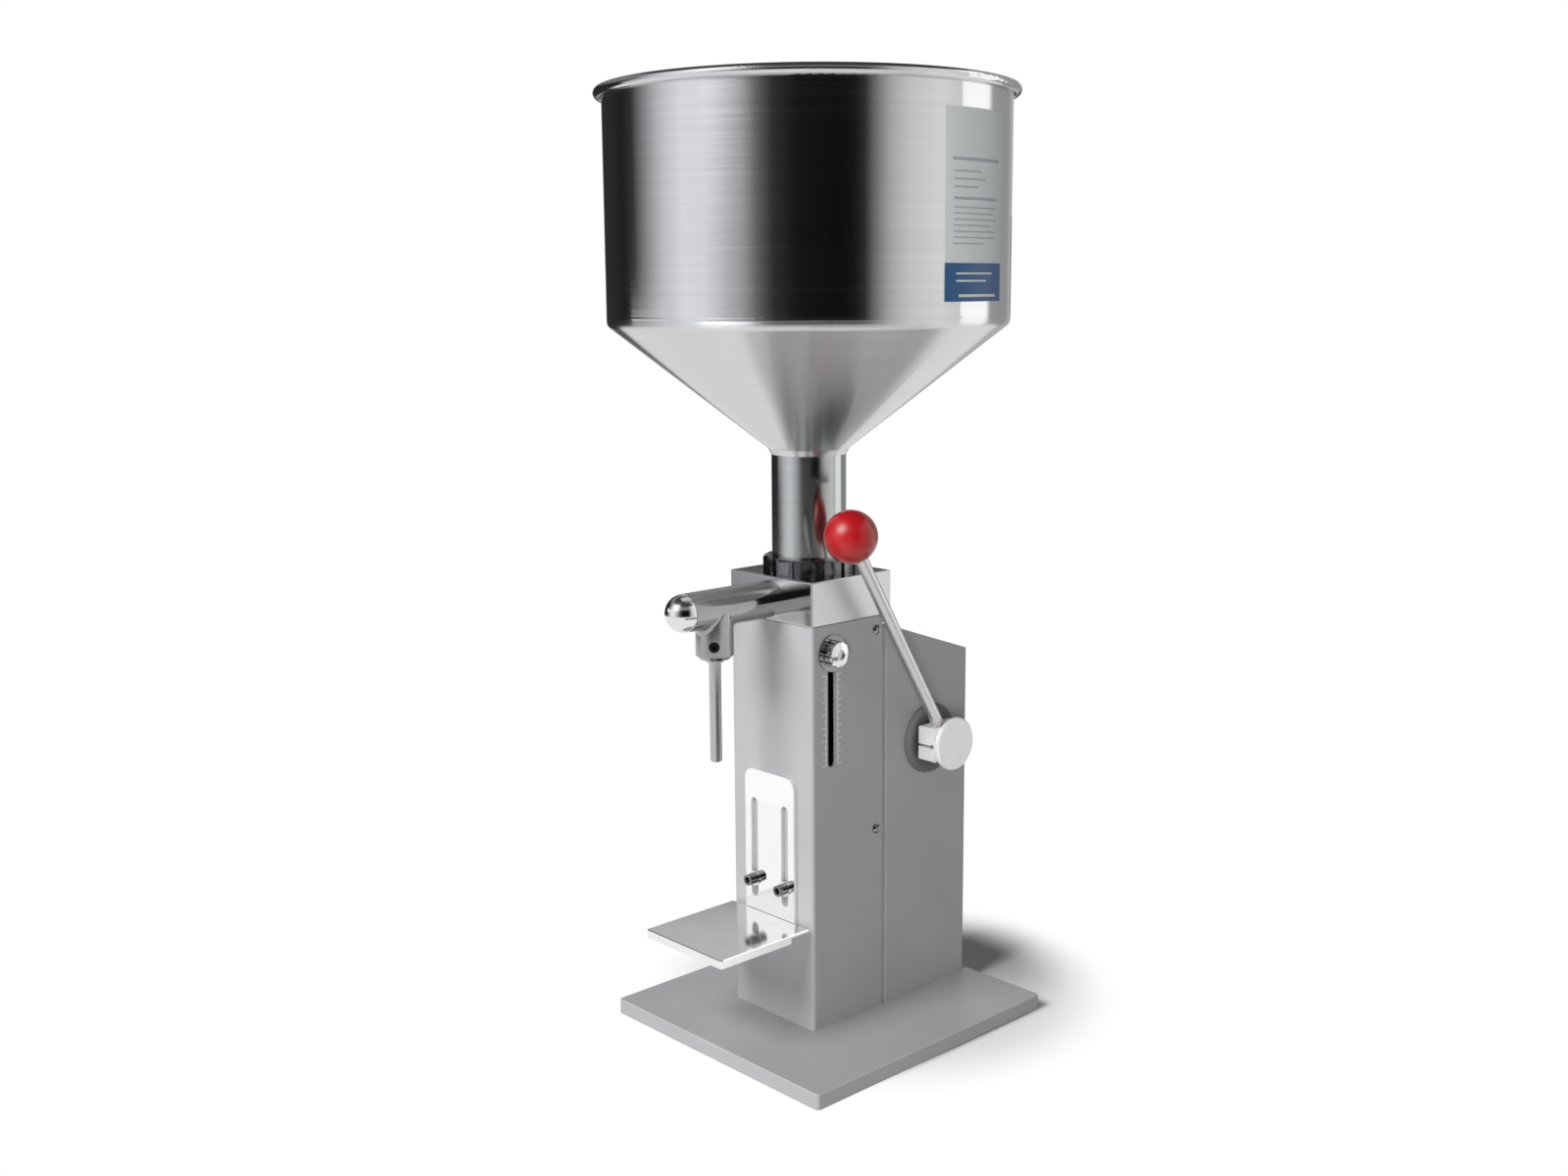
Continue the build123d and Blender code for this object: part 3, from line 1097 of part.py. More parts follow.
def stop_block():
    """Nut block behind the slotted wall, clamped by the knob outside."""
    depth = (STOP_Y - STOP_BLOCK_D / 2, STOP_Y + STOP_BLOCK_D / 2)
    height = (STOP_Z - STOP_BLOCK_H / 2, STOP_Z + STOP_BLOCK_H / 2)
    block = box((stop_block_inner_x(), INNER_X - SLIDE), depth, height)
    return block - rod_x(STOP_STUD_R + THREAD, (stop_block_inner_x() + 5, WALL_X), STOP_Y, STOP_Z)


def stop_stud():
    end = WALL_X + STOP_WASHER_T + STOP_KNOB_L - 1.5
    return rod_x(STOP_STUD_R, (stop_block_inner_x() + 5 + SEAT, end), STOP_Y, STOP_Z)


def stop_washer():
    x = (WALL_X + SLIDE, WALL_X + SLIDE + STOP_WASHER_T)
    return rod_x(STOP_WASHER_R, x, STOP_Y, STOP_Z) - rod_x(STOP_STUD_R + THREAD, (0, x[1] + 1), STOP_Y, STOP_Z)


def stop_knob():
    """Fluted knob with a polished, crowned face, in which the stud's end shows."""
    low = STOP_WASHER_T + 2 * SLIDE
    high = low + STOP_KNOB_L
    rim = high - STOP_KNOB_CROWN
    edge = 1.2
    rim_r = STOP_KNOB_R - edge / 2
    crown_r = (rim_r ** 2 + STOP_KNOB_CROWN ** 2) / (2 * STOP_KNOB_CROWN)
    halfway = (rim_r / 2, high - crown_r + math.sqrt(crown_r ** 2 - rim_r ** 2 / 4))
    crown = ThreePointArc((rim_r, rim), halfway, (0, high))
    sides = Polyline((0, high), (0, low), (STOP_KNOB_R - edge, low), (STOP_KNOB_R, low + edge),
                     (STOP_KNOB_R, rim - edge / 2), (rim_r, rim))
    knob = revolve(Plane.XZ * make_face(crown + sides), Axis.Z)
    flute = rod_z(STOP_KNOB_FLUTE_R, (low - 1, high + 1), STOP_KNOB_R + STOP_KNOB_FLUTE_R / 3, 0)
    for n in range(STOP_KNOB_FLUTES):
        knob -= Rot(0, 0, 360 * n / STOP_KNOB_FLUTES) * flute
    knob -= rod_z(STOP_STUD_R + THREAD, (low - 1, high + 1))
    return Pos(WALL_X, STOP_Y, STOP_Z) * Rot(0, 90, 0) * knob


# Bottle platform
def platform_bracket():
    """Slotted upright with a toe under the shelf."""
    half = BRACKET_PLATE_W / 2
    bottom = SHELF_Z - SHELF_SHEET - BRACKET_PLATE_T
    depth = (BRACKET_PLATE_FRONT, BRACKET_PLATE_BACK)
    plate = box((-half, half), depth, (bottom, BASE_TOP + BRACKET_PLATE_TOP))
    top_corners = plate.edges().filter_by(Axis.Y).group_by(Axis.Z)[-1]
    plate = fillet(top_corners, BRACKET_PLATE_CORNER)
    for x in platform_screw_places():
        ends = (BASE_TOP + PLATFORM_SLOT_LOW, BASE_TOP + PLATFORM_SLOT_HIGH)
        plate -= slot_y(x, (depth[0] - 1, depth[1] + 1), ends, PLATFORM_SLOT_W)
    toe = (BRACKET_PLATE_FRONT - BRACKET_TOE, BRACKET_PLATE_BACK)
    return plate + box((-half, half), toe, (bottom, bottom + BRACKET_PLATE_T))


def platform_shelf():
    """Shallow tray of polished sheet, turned down at its front and sides."""
    half = SHELF_W / 2
    back = BRACKET_PLATE_FRONT - SEAT
    front = back - SHELF_D
    tray = box((-half, half), (front, back), (SHELF_Z - SHELF_LIP, SHELF_Z))
    tray = fillet(tray.edges().filter_by(Axis.Z).sort_by(Axis.Y)[:2], SHELF_SHEET)
    tray = chamfer(tray.faces().sort_by(Axis.Z)[-1].edges(), SHELF_EDGE)
    inner = (half - SHELF_SHEET, front + SHELF_SHEET)
    under = (SHELF_Z - SHELF_LIP - 1, SHELF_Z - SHELF_SHEET)
    tray -= box((-half - 1, half + 1), (back - SHELF_LIP_END, back + 1), under)
    return tray - box((-inner[0], inner[0]), (inner[1], back + 1), under)


def platform_screws():
    head = BRACKET_PLATE_FRONT - SLIDE - PLATFORM_WASHER_T
    length = COLUMN_FRONT + COLUMN_SHEET + PLATFORM_NUT_H + 1.0 - head
    screw = cap_screw(PLATFORM_SCREW, length, PLATFORM_HEAD_R, PLATFORM_HEAD_H)
    return [Pos(x, head, PLATFORM_SCREW_Z) * Rot(-90, 0, 0) * screw for x in platform_screw_places()]


def platform_washers():
    front = BRACKET_PLATE_FRONT - SLIDE
    depth = (front - PLATFORM_WASHER_T, front)
    hole = (depth[0] - 1, depth[1] + 1)
    return [rod_y(PLATFORM_WASHER_R, depth, x, PLATFORM_SCREW_Z)
            - rod_y(PLATFORM_SCREW / 2 + THREAD, hole, x, PLATFORM_SCREW_Z) for x in platform_screw_places()]


def platform_nuts():
    back = COLUMN_FRONT + COLUMN_SHEET
    nut = Rot(-90, 0, 0) * hex_nut(PLATFORM_SCREW, PLATFORM_NUT_H)
    return [Pos(x, back, PLATFORM_SCREW_Z) * nut for x in platform_screw_places()]


PIECES = {
    "base_plate": base_plate,
    "front_column": front_column,
    "rear_cover": rear_cover,
    "cover_screws": cover_screws,
    "foot_screws": foot_screws,
    "foot_nuts": foot_nuts,
    "pump_head": pump_head,
    "head_screws": head_screws,
    "hopper_wall": hopper_wall,
    "hopper_cone": hopper_cone,
    "hopper_neck": hopper_neck,
    "hopper_gasket": hopper_gasket,
    "ring_nut": ring_nut,
    "inlet_spider": inlet_spider,
    "inlet_valve": inlet_valve,
    "inlet_spring": inlet_spring,
    "inlet_spring_cap": inlet_spring_cap,
    "outlet_tee": outlet_tee,
    "nozzle_screw": nozzle_screw,
    "outlet_cap": outlet_cap,
    "outlet_valve": outlet_valve,
    "outlet_spring": outlet_spring,
    "nozzle": nozzle,
    "cylinder": cylinder,
    "cylinder_gasket": cylinder_gasket,
    "cylinder_screws": cylinder_screws,
    "piston": piston,
    "piston_seals": piston_seals,
    "piston_rod": piston_rod,
    "piston_nut": piston_nut,
    "rod_nut": rod_nut,
    "toothed_sector": toothed_sector,
    "sector_pin": sector_pin,
    "rack": rack,
    "stop_post": stop_post,
    "rack_guide": rack_guide,
    "guide_screw": guide_screw,
    "bearing_bracket_left": lambda: bearing_bracket(-1),
    "bearing_bracket_right": lambda: bearing_bracket(1),
    "bracket_screws": bracket_screws,
    "shaft_bushes": shaft_bushes,
    "lever_shaft": lever_shaft,
    "shaft_circlip": shaft_circlip,
    "shaft_spacers": shaft_spacers,
    "shaft_guard": shaft_guard,
    "lever_hub": lever_hub,
    "hub_screw": hub_screw,
    "lever_rod": lever_rod,
    "ball_knob": ball_knob,
    "stop_block": stop_block,
    "stop_stud": stop_stud,
    "stop_washer": stop_washer,
    "stop_knob": stop_knob,
    "platform_bracket": platform_bracket,
    "platform_shelf": platform_shelf,
    "platform_screws": platform_screws,
    "platform_washers": platform_washers,
    "platform_nuts": platform_nuts,
}

os.makedirs("parts", exist_ok=True)
for name, make in PIECES.items():
    shape = make()
    if isinstance(shape, list):
        shape = Compound(children=shape)
    export_step(shape, f"parts/{name}.step")
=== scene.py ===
import json
import math

import bmesh
import bpy
from mathutils import Matrix, Vector


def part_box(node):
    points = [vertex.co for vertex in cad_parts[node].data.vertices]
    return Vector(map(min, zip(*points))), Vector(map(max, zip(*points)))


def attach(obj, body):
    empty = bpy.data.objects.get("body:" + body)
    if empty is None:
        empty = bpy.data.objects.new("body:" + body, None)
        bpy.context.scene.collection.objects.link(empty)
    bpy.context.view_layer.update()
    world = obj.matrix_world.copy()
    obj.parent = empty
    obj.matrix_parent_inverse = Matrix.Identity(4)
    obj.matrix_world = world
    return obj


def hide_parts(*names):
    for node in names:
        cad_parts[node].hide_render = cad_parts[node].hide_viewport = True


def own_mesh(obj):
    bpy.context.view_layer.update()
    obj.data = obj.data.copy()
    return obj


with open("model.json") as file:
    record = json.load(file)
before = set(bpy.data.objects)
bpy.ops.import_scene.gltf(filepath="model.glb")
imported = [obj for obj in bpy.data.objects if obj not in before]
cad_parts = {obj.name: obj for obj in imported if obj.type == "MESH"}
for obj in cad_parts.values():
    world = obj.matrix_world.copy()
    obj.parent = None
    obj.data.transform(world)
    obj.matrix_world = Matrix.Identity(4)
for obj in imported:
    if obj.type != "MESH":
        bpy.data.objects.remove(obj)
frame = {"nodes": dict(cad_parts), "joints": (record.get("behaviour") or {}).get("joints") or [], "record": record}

# The imported pieces and their joints, before anything is dressed
NODES = frame["nodes"]
JOINTS = {joint["name"]: joint for joint in frame["joints"]}
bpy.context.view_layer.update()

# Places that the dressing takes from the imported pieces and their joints, in metres
RIGHT_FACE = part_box("front_column")[1].x
HOPPER_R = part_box("hopper_cone")[1].x
HOPPER_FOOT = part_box("hopper_wall")[0].z
INLET_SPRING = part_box("inlet_spring")
OUTLET_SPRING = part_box("outlet_spring")
LEVER_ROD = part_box("lever_rod")
SHAFT_Y, SHAFT_Z = JOINTS["lever_swing"]["pos_m"][1:]
SLOT_Y = JOINTS["stop_knob_turn"]["pos_m"][1]


# Small helpers for colours and node trees
def tone(red, green, blue):
    """A colour as it looks on a screen, 0 to 255, turned into the linear values that shaders take."""
    def linear(value):
        value /= 255
        return value / 12.92 if value <= 0.04045 else ((value + 0.055) / 1.055) ** 2.4
    return (linear(red), linear(green), linear(blue), 1.0)


def grey(value):
    """A neutral colour, given as its linear value."""
    return (value, value, value, 1.0)


def put(tree, kind, inputs=None, **settings):
    """Adds a node, sets its options, and fills or links its inputs."""
    made = tree.nodes.new(kind)
    for name, value in settings.items():
        setattr(made, name, value)
    for name, value in (inputs or {}).items():
        if isinstance(value, bpy.types.NodeSocket):
            tree.links.new(value, made.inputs[name])
        else:
            made.inputs[name].default_value = value
    return made


def finish_of(name, **values):
    """A new material with one principled shader, whose plain sockets are set here."""
    made = bpy.data.materials.new(name)
    made.use_nodes = True
    shader = made.node_tree.nodes["Principled BSDF"]
    for socket, value in values.items():
        shader.inputs[socket.replace("_", " ")].default_value = value
    return made, made.node_tree, shader


def object_place(tree, scale=(1, 1, 1), turn=(0, 0, 0)):
    """Object coordinates, scaled and turned."""
    place = put(tree, "ShaderNodeTexCoord").outputs["Object"]
    inputs = {"Vector": place, "Scale": scale, "Rotation": turn}
    return put(tree, "ShaderNodeMapping", inputs).outputs["Vector"]


def grain(tree, vector, scale, detail=3.0, rough=0.55):
    """Cloudy pattern, about 0.3 to 0.7."""
    return put(tree, "ShaderNodeTexNoise", {"Vector": vector, "Scale": scale, "Detail": detail,
                                            "Roughness": rough}).outputs["Fac"]


def spread(tree, value, low, high, start=0.3, end=0.7, curve="LINEAR"):
    """Maps a range of values, by default a grain's middle range, to another range."""
    return put(tree, "ShaderNodeMapRange", {"Value": value, "From Min": start, "From Max": end, "To Min": low,
                                            "To Max": high}, interpolation_type=curve).outputs["Result"]


def reckon(tree, operation, first, second):
    """One sum of two values."""
    return put(tree, "ShaderNodeMath", {0: first, 1: second}, operation=operation).outputs[0]


def distance_from(tree, place, middle):
    return put(tree, "ShaderNodeVectorMath", {0: place, 1: middle}, operation="DISTANCE").outputs["Value"]


def mixed(tree, factor, first, second, how="MIX"):
    """Two colours, each a plain one or a socket, mixed by a factor."""
    return put(tree, "ShaderNodeMix", {"Factor": factor, "A": first, "B": second}, data_type="RGBA",
               blend_type=how).outputs["Result"]


def two_tone(tree, pattern, low, high):
    """A colour that drifts between two tones with a grain."""
    return mixed(tree, spread(tree, pattern, 0.0, 1.0), low, high)


def feed(tree, shader, colour, roughness):
    tree.links.new(colour, shader.inputs["Base Color"])
    tree.links.new(roughness, shader.inputs["Roughness"])


def relief(tree, shader, height, strength, distance):
    bump = put(tree, "ShaderNodeBump", {"Height": height, "Strength": strength, "Distance": distance})
    tree.links.new(bump.outputs["Normal"], shader.inputs["Normal"])


# Finishes
def rubbed_edges(tree, radius):
    """1 along outside edges, where handling rubs the surface, and 0 on flat ground."""
    rounded = put(tree, "ShaderNodeBevel", {"Radius": radius}, samples=4).outputs["Normal"]
    flat = put(tree, "ShaderNodeNewGeometry").outputs["Normal"]
    alike = put(tree, "ShaderNodeVectorMath", {0: rounded, 1: flat}, operation="DOT_PRODUCT").outputs["Value"]
    return spread(tree, alike, 0.0, 1.0, start=0.97, end=0.80)


def grey_enamel():
    """Stoved light grey paint: faint orange peel, slightly uneven tone, edges rubbed paler."""
    made, tree, shader = finish_of("grey_enamel", Metallic=0.0, Specular_IOR_Level=0.45)
    mottle = grain(tree, object_place(tree), scale=9.0, detail=4.0)
    peel = grain(tree, object_place(tree), scale=620.0, detail=2.0)
    scuffs = grain(tree, object_place(tree), scale=60.0, detail=5.0, rough=0.65)
    ground = two_tone(tree, mottle, tone(160, 161, 162), tone(167, 168, 169))
    rubbed = reckon(tree, "MULTIPLY", rubbed_edges(tree, radius=0.0012), spread(tree, scuffs, 0.1, 0.8))
    worn = mixed(tree, rubbed, ground, tone(181, 182, 183))
    feed(tree, shader, worn, spread(tree, peel, 0.36, 0.46))
    relief(tree, shader, peel, strength=0.12, distance=0.0002)
    return made


def ringed_steel(name, low, high, rough, stretch, rings, streaks, marks=0.03):
    """Stainless brushed or spun round Z: level lines that draw reflections out up and down."""
    made, tree, shader = finish_of(name, Metallic=1.0, Anisotropic=stretch, Anisotropic_Rotation=0.25)
    lines = grain(tree, object_place(tree, (3, 3, rings)), scale=1.0, detail=4.0, rough=0.6)
    drift = grain(tree, object_place(tree, (2, 2, streaks)), scale=1.0)
    brushed = spread(tree, lines, rough - 0.6 * marks, rough + marks)
    feed(tree, shader, two_tone(tree, drift, low, high), brushed)
    tangent = put(tree, "ShaderNodeTangent", direction_type="RADIAL", axis="Z")
    tree.links.new(tangent.outputs["Tangent"], shader.inputs["Tangent"])
    relief(tree, shader, lines, strength=marks, distance=0.0001)
    return made


def buffed_steel(name, low, high, sharp, dull):
    """Polished stainless with faint buffing haze, from a sharp to a duller mirror."""
    made, tree, shader = finish_of(name, Metallic=1.0)
    haze = grain(tree, object_place(tree), scale=38.0, detail=4.0)
    buff = grain(tree, object_place(tree, scale=(30, 420, 420), turn=(0.3, 0.2, 0.5)), scale=1.0)
    feed(tree, shader, two_tone(tree, haze, low, high), spread(tree, buff, sharp, dull))
    relief(tree, shader, haze, strength=0.02, distance=0.0004)
    return made


def part_lapped_steel(name, low, high, axis, sharp, dull, start, end):
    """Stainless lapped bright on some sides and left satin on those that face along the named axis."""
    made, tree, shader = finish_of(name, Metallic=1.0)
    haze = grain(tree, object_place(tree), scale=38.0, detail=4.0)
    facing = put(tree, "ShaderNodeSeparateXYZ", {0: put(tree, "ShaderNodeTexCoord").outputs["Normal"]})
    satin = spread(tree, facing.outputs[axis], sharp, dull, start, end)
    uneven = reckon(tree, "MULTIPLY", satin, spread(tree, haze, 0.95, 1.15))
    feed(tree, shader, two_tone(tree, haze, low, high), uneven)
    relief(tree, shader, haze, strength=0.02, distance=0.0004)
    return made


def turned_bar(name, low, high, rough, lines):
    """Fine-turned steel. The lathe's lines lie as close along each axis as lines gives."""
    made, tree, shader = finish_of(name, Metallic=1.0)
    cut = grain(tree, object_place(tree, lines), scale=1.0, rough=0.6)
    feed(tree, shader, two_tone(tree, cut, low, high), spread(tree, cut, rough - 0.05, rough + 0.06))
    relief(tree, shader, cut, strength=0.06, distance=0.0001)
    return made


def plain_metal(name, low, high, rough, metal=1.0):
    """Machined, plated or blasted metal with a slightly uneven tone."""
    made, tree, shader = finish_of(name, Metallic=metal)
    mottle = grain(tree, object_place(tree), scale=140.0, detail=4.0)
    feed(tree, shader, two_tone(tree, mottle, low, high), spread(tree, mottle, rough - 0.05, rough + 0.08))
    relief(tree, shader, mottle, strength=0.05, distance=0.0002)
    return made


def red_ball_plastic():
    """Glossy red moulded plastic with a hint of flow in its colour."""
    made, tree, shader = finish_of("red_ball_plastic", Metallic=0.0, Specular_IOR_Level=0.1,
                                   Coat_Weight=1.0, Coat_Roughness=0.32)
    flow = grain(tree, object_place(tree, (40, 40, 90)), scale=1.0)
    colour = two_tone(tree, flow, tone(156, 8, 13), tone(165, 9, 16))
    feed(tree, shader, colour, spread(tree, flow, 0.22, 0.30))
    return made


def rubber_of(name):
    """Dull rubber with a fine moulded speckle, its colour still to come, and that speckle."""
    made, tree, shader = finish_of(name, Metallic=0.0, Specular_IOR_Level=0.35)
    speck = grain(tree, object_place(tree), scale=300.0, detail=2.0)
    tree.links.new(spread(tree, speck, 0.55, 0.66), shader.inputs["Roughness"])
    relief(tree, shader, speck, strength=0.05, distance=0.0001)
    return made, tree, shader, speck


def soft_rubber(name, low, high):
    """Food-grade silicone or nitrile."""
    made, tree, shader, speck = rubber_of(name)
    tree.links.new(two_tone(tree, speck, low, high), shader.inputs["Base Color"])
    return made


def shaded_rubber_ring(name, low, high, middle, start, end):
    """Black rubber ring round a shaft along X with painted shade: darkest at the shaft, where the hub's shade
    falls, paler towards its rim.
    """
    made, tree, shader, speck = rubber_of(name)
    away = distance_from(tree, object_place(tree, (0, 1, 1)), middle)
    # Painted shade: 0 at the shaft, where the dark tone stands in for the hub's shade, rising to 1 at the rim,
    # broken by the speckle
    shade_to_rim = reckon(tree, "MULTIPLY", spread(tree, away, 0.0, 1.0, start, end), spread(tree, speck, 0.85, 1.0))
    tree.links.new(mixed(tree, shade_to_rim, low, high), shader.inputs["Base Color"])
    return made


def printed(name, low, high, rough=0.5):
    """Printed film or ink with a fine uneven lay."""
    made, tree, shader = finish_of(name, Metallic=0.0, Specular_IOR_Level=0.4)
    lay = grain(tree, object_place(tree), scale=420.0)
    feed(tree, shader, two_tone(tree, lay, low, high), spread(tree, lay, rough - 0.05, rough + 0.05))
    return made


ENAMEL = grey_enamel()
HOPPER_SHEET = ringed_steel("hopper_sheet", tone(209, 210, 211), tone(214, 215, 216), rough=0.13, stretch=0.7,
                            rings=1100, streaks=260)
CONE_SHEET = ringed_steel("cone_sheet", tone(209, 212, 211), tone(213, 215, 214), rough=0.25, stretch=0.97,
                          rings=700, streaks=180, marks=0.005)
NECK_TUBE = ringed_steel("neck_tube", tone(180, 183, 183), tone(187, 189, 189), rough=0.17, stretch=0.8,
                         rings=900, streaks=200)
MIRROR = buffed_steel("mirror_steel", tone(248, 249, 249), tone(252, 253, 253), sharp=0.04, dull=0.08)
SHELF_STEEL = buffed_steel("shelf_steel", tone(238, 240, 239), tone(244, 245, 245), sharp=0.09, dull=0.13)
CAP_STEEL = buffed_steel("cap_steel", tone(226, 227, 228), tone(233, 234, 235), sharp=0.10, dull=0.15)
SATIN = buffed_steel("satin_steel", tone(198, 200, 199), tone(205, 207, 206), sharp=0.32, dull=0.40)
NOZZLE_STEEL = buffed_steel("nozzle_steel", tone(180, 182, 181), tone(188, 190, 189), sharp=0.11, dull=0.16)
SCREW_STEEL = buffed_steel("screw_steel", tone(138, 139, 141), tone(152, 153, 155), sharp=0.10, dull=0.16)
TEE_STEEL = part_lapped_steel("tee_steel", tone(160, 162, 161), tone(169, 171, 170), axis="Z", sharp=0.10,
                              dull=0.32, start=0.3, end=0.8)
HEAD_STEEL = part_lapped_steel("head_steel", tone(203, 205, 204), tone(210, 212, 211), axis="X", sharp=0.11,
                               dull=0.36, start=0.3, end=0.7)
ROD_STEEL = turned_bar("turned_rod", tone(198, 197, 195), tone(212, 211, 209), rough=0.30,
                       lines=(60, 700, 700))
BLASTED = plain_metal("blasted_alloy", tone(236, 236, 235), tone(243, 243, 242), rough=0.45, metal=0.4)
DARK_NUT = plain_metal("dark_nut", tone(104, 105, 108), tone(120, 121, 124), rough=0.17)
BLACKENED = plain_metal("blackened_screw", tone(44, 44, 46), tone(58, 58, 60), rough=0.34)
STEEL = plain_metal("machined_steel", tone(150, 151, 153), tone(166, 167, 169), rough=0.38)
ZINC = plain_metal("bright_zinc", tone(186, 188, 192), tone(204, 206, 208), rough=0.30)
SPRING_WIRE = plain_metal("spring_wire", tone(176, 177, 178), tone(196, 197, 198), rough=0.26)
BRONZE = plain_metal("bearing_bronze", tone(168, 122, 66), tone(186, 138, 78), rough=0.36)
SILICONE = soft_rubber("white_silicone", tone(216, 215, 210), tone(226, 225, 221))
NITRILE = soft_rubber("black_nitrile", tone(38, 38, 39), tone(48, 48, 49))
# Guard rubber with painted shade, darker round the shaft and paler towards its rim
GUARD_RUBBER_SHADED = shaded_rubber_ring("guard_rubber_shaded", tone(44, 45, 46), tone(112, 113, 114),
                            middle=(0, SHAFT_Y, SHAFT_Z), start=0.014, end=0.029)
BALL_RED = red_ball_plastic()
LABEL_FILM = printed("label_film", tone(222, 227, 228), tone(229, 233, 234), rough=0.35)
LABEL_BAND = printed("label_band", tone(8, 77, 129), tone(14, 83, 135), rough=0.35)
LABEL_RULE = printed("label_rule", tone(168, 174, 182), tone(178, 184, 192), rough=0.4)
SCALE_INK = printed("scale_ink", tone(226, 227, 228), tone(236, 237, 238))

# What each slot of the record is finished with, and the nodes that differ from their slot
SLOT_FINISH = {"paint": ENAMEL, "brushed": HOPPER_SHEET, "polished": SATIN, "rod": ROD_STEEL, "steel": STEEL,
               "zinc": ZINC, "spring": SPRING_WIRE, "bronze": BRONZE, "gasket": SILICONE, "seal": NITRILE,
               "ball": BALL_RED}
NODE_FINISH = {"hopper_cone": CONE_SHEET, "hopper_neck": NECK_TUBE, "ring_nut": DARK_NUT,
               "pump_head": HEAD_STEEL, "outlet_tee": TEE_STEEL, "outlet_cap": CAP_STEEL,
               "nozzle": NOZZLE_STEEL, "nozzle_screw": BLACKENED,
               "platform_bracket": MIRROR, "platform_shelf": SHELF_STEEL, "platform_screws": SCREW_STEEL,
               "platform_washers": CAP_STEEL, "stop_knob": CAP_STEEL, "stop_washer": SCREW_STEEL,
               "lever_hub": BLASTED, "hub_screw": BLACKENED, "cover_screws": SCREW_STEEL,
               "shaft_guard": GUARD_RUBBER_SHADED}


def finish_nodes():
    for subpart in frame["record"]["subparts"]:
        node, slot = subpart["node"], subpart["material_slot"]
        materials = NODES[node].data.materials
        materials.clear()
        materials.append(NODE_FINISH.get(node, SLOT_FINISH[slot]))


# Shaping helpers
def dress(name, bm, finish, body, sharp=35.0):
    """Turns a bmesh into a piece that rides on a body, smooth but for its sharp edges."""
    mesh = bpy.data.meshes.new(name)
    for face in bm.faces:
        face.smooth = True
    bm.to_mesh(mesh)
    bm.free()
    mesh.set_sharp_from_angle(angle=math.radians(sharp))
    mesh.materials.append(finish)
    piece = bpy.data.objects.new(name, mesh)
    bpy.context.scene.collection.objects.link(piece)
    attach(piece, body)
    return piece


def slab(bm, low, high):
    """Adds an upright block between two corners."""
    low, high = Vector(low), Vector(high)
    made = bmesh.ops.create_cube(bm, size=1.0)["verts"]
    bmesh.ops.scale(bm, verts=made, vec=high - low)
    bmesh.ops.translate(bm, verts=made, vec=(low + high) / 2)


def bent_strip(bm, radius, thick, start, end, low, high, steps):
    """Adds a strip bent round Z, between two bearings in degrees and two heights."""
    outer = radius + thick
    corners = ((radius, low), (outer, low), (outer, high), (radius, high))
    outline = [bm.verts.new((r, 0, z)) for r, z in corners]
    strip = bm.faces.new(outline)
    bmesh.ops.rotate(bm, verts=outline, cent=(0, 0, 0), matrix=Matrix.Rotation(math.radians(start), 3, "Z"))
    bmesh.ops.spin(bm, geom=[strip] + list(strip.edges) + outline, cent=(0, 0, 0), axis=(0, 0, 1),
                   angle=math.radians(end - start), steps=steps, use_merge=False)


def closed_up(bm):
    """Merges doubled points and turns all faces outwards."""
    bmesh.ops.remove_doubles(bm, verts=bm.verts[:], dist=1e-7)
    bmesh.ops.recalc_face_normals(bm, faces=bm.faces[:])
    return bm


# Plain film on the hopper's side, with a blue foot band and blank rules. Bearings are in degrees from +X
LABEL_FROM, LABEL_TO = -6.0, 20.5
LABEL_LOW, LABEL_HIGH, BAND_HIGH = 0.565, 0.694, 0.591
LABEL_STEPS, RULE_STEPS = 32, 16
FILM = 0.00012
INK = FILM / 2
# Each rule: the height of its middle, how tall it is, and the shares of the label's width at its ends
RULES = ((0.6600, 0.0022, 0.10, 0.92), (0.6520, 0.0011, 0.12, 0.55), (0.6468, 0.0011, 0.12, 0.62),
         (0.6416, 0.0011, 0.12, 0.50), (0.6340, 0.0018, 0.12, 0.88), (0.6280, 0.0009, 0.12, 0.84),
         (0.6240, 0.0009, 0.12, 0.80), (0.6200, 0.0009, 0.12, 0.86), (0.6160, 0.0009, 0.12, 0.74),
         (0.6120, 0.0009, 0.12, 0.84), (0.6080, 0.0009, 0.12, 0.82), (0.6040, 0.0009, 0.12, 0.60))
BAND_RULES = ((0.5840, 0.0012, 0.16, 0.78), (0.5790, 0.0012, 0.16, 0.66), (0.5690, 0.0018, 0.20, 0.86))


def along_label(share):
    return LABEL_FROM + (LABEL_TO - LABEL_FROM) * share


def label_sheet(name, finish, radius, thick, high):
    """One layer as wide as the label, from its foot up."""
    bm = bmesh.new()
    bent_strip(bm, radius, thick, LABEL_FROM, LABEL_TO, LABEL_LOW, high, LABEL_STEPS)
    dress(name, closed_up(bm), finish, "machine")


def label_lines(name, finish, radius, rules):
    """Printed rules on one layer of the label."""
    bm = bmesh.new()
    for middle, tall, start, end in rules:
        low, high = middle - tall / 2, middle + tall / 2
        bent_strip(bm, radius, INK, along_label(start), along_label(end), low, high, RULE_STEPS)
    dress(name, closed_up(bm), finish, "machine")


def hopper_label():
    label_sheet("label_film", LABEL_FILM, HOPPER_R, FILM, LABEL_HIGH)
    label_sheet("label_band", LABEL_BAND, HOPPER_R + FILM, INK, BAND_HIGH)
    label_lines("label_rules", LABEL_RULE, HOPPER_R + FILM, RULES)
    label_lines("label_band_rules", LABEL_FILM, HOPPER_R + FILM + INK, BAND_RULES)


# Graduation lines beside the stroke slot
SCALE_TOP, SCALE_FOOT = 0.2900, 0.2200
SCALE_OFF = 0.0062            # from the slot's middle to the upright line
MARK_STEP = 0.005
LONG_MARK, SHORT_MARK = 0.0042, 0.0028
LINE_W, MARK_W = 0.0006, 0.0005
INK_SUNK, INK_PROUD = 0.00002, 0.0001


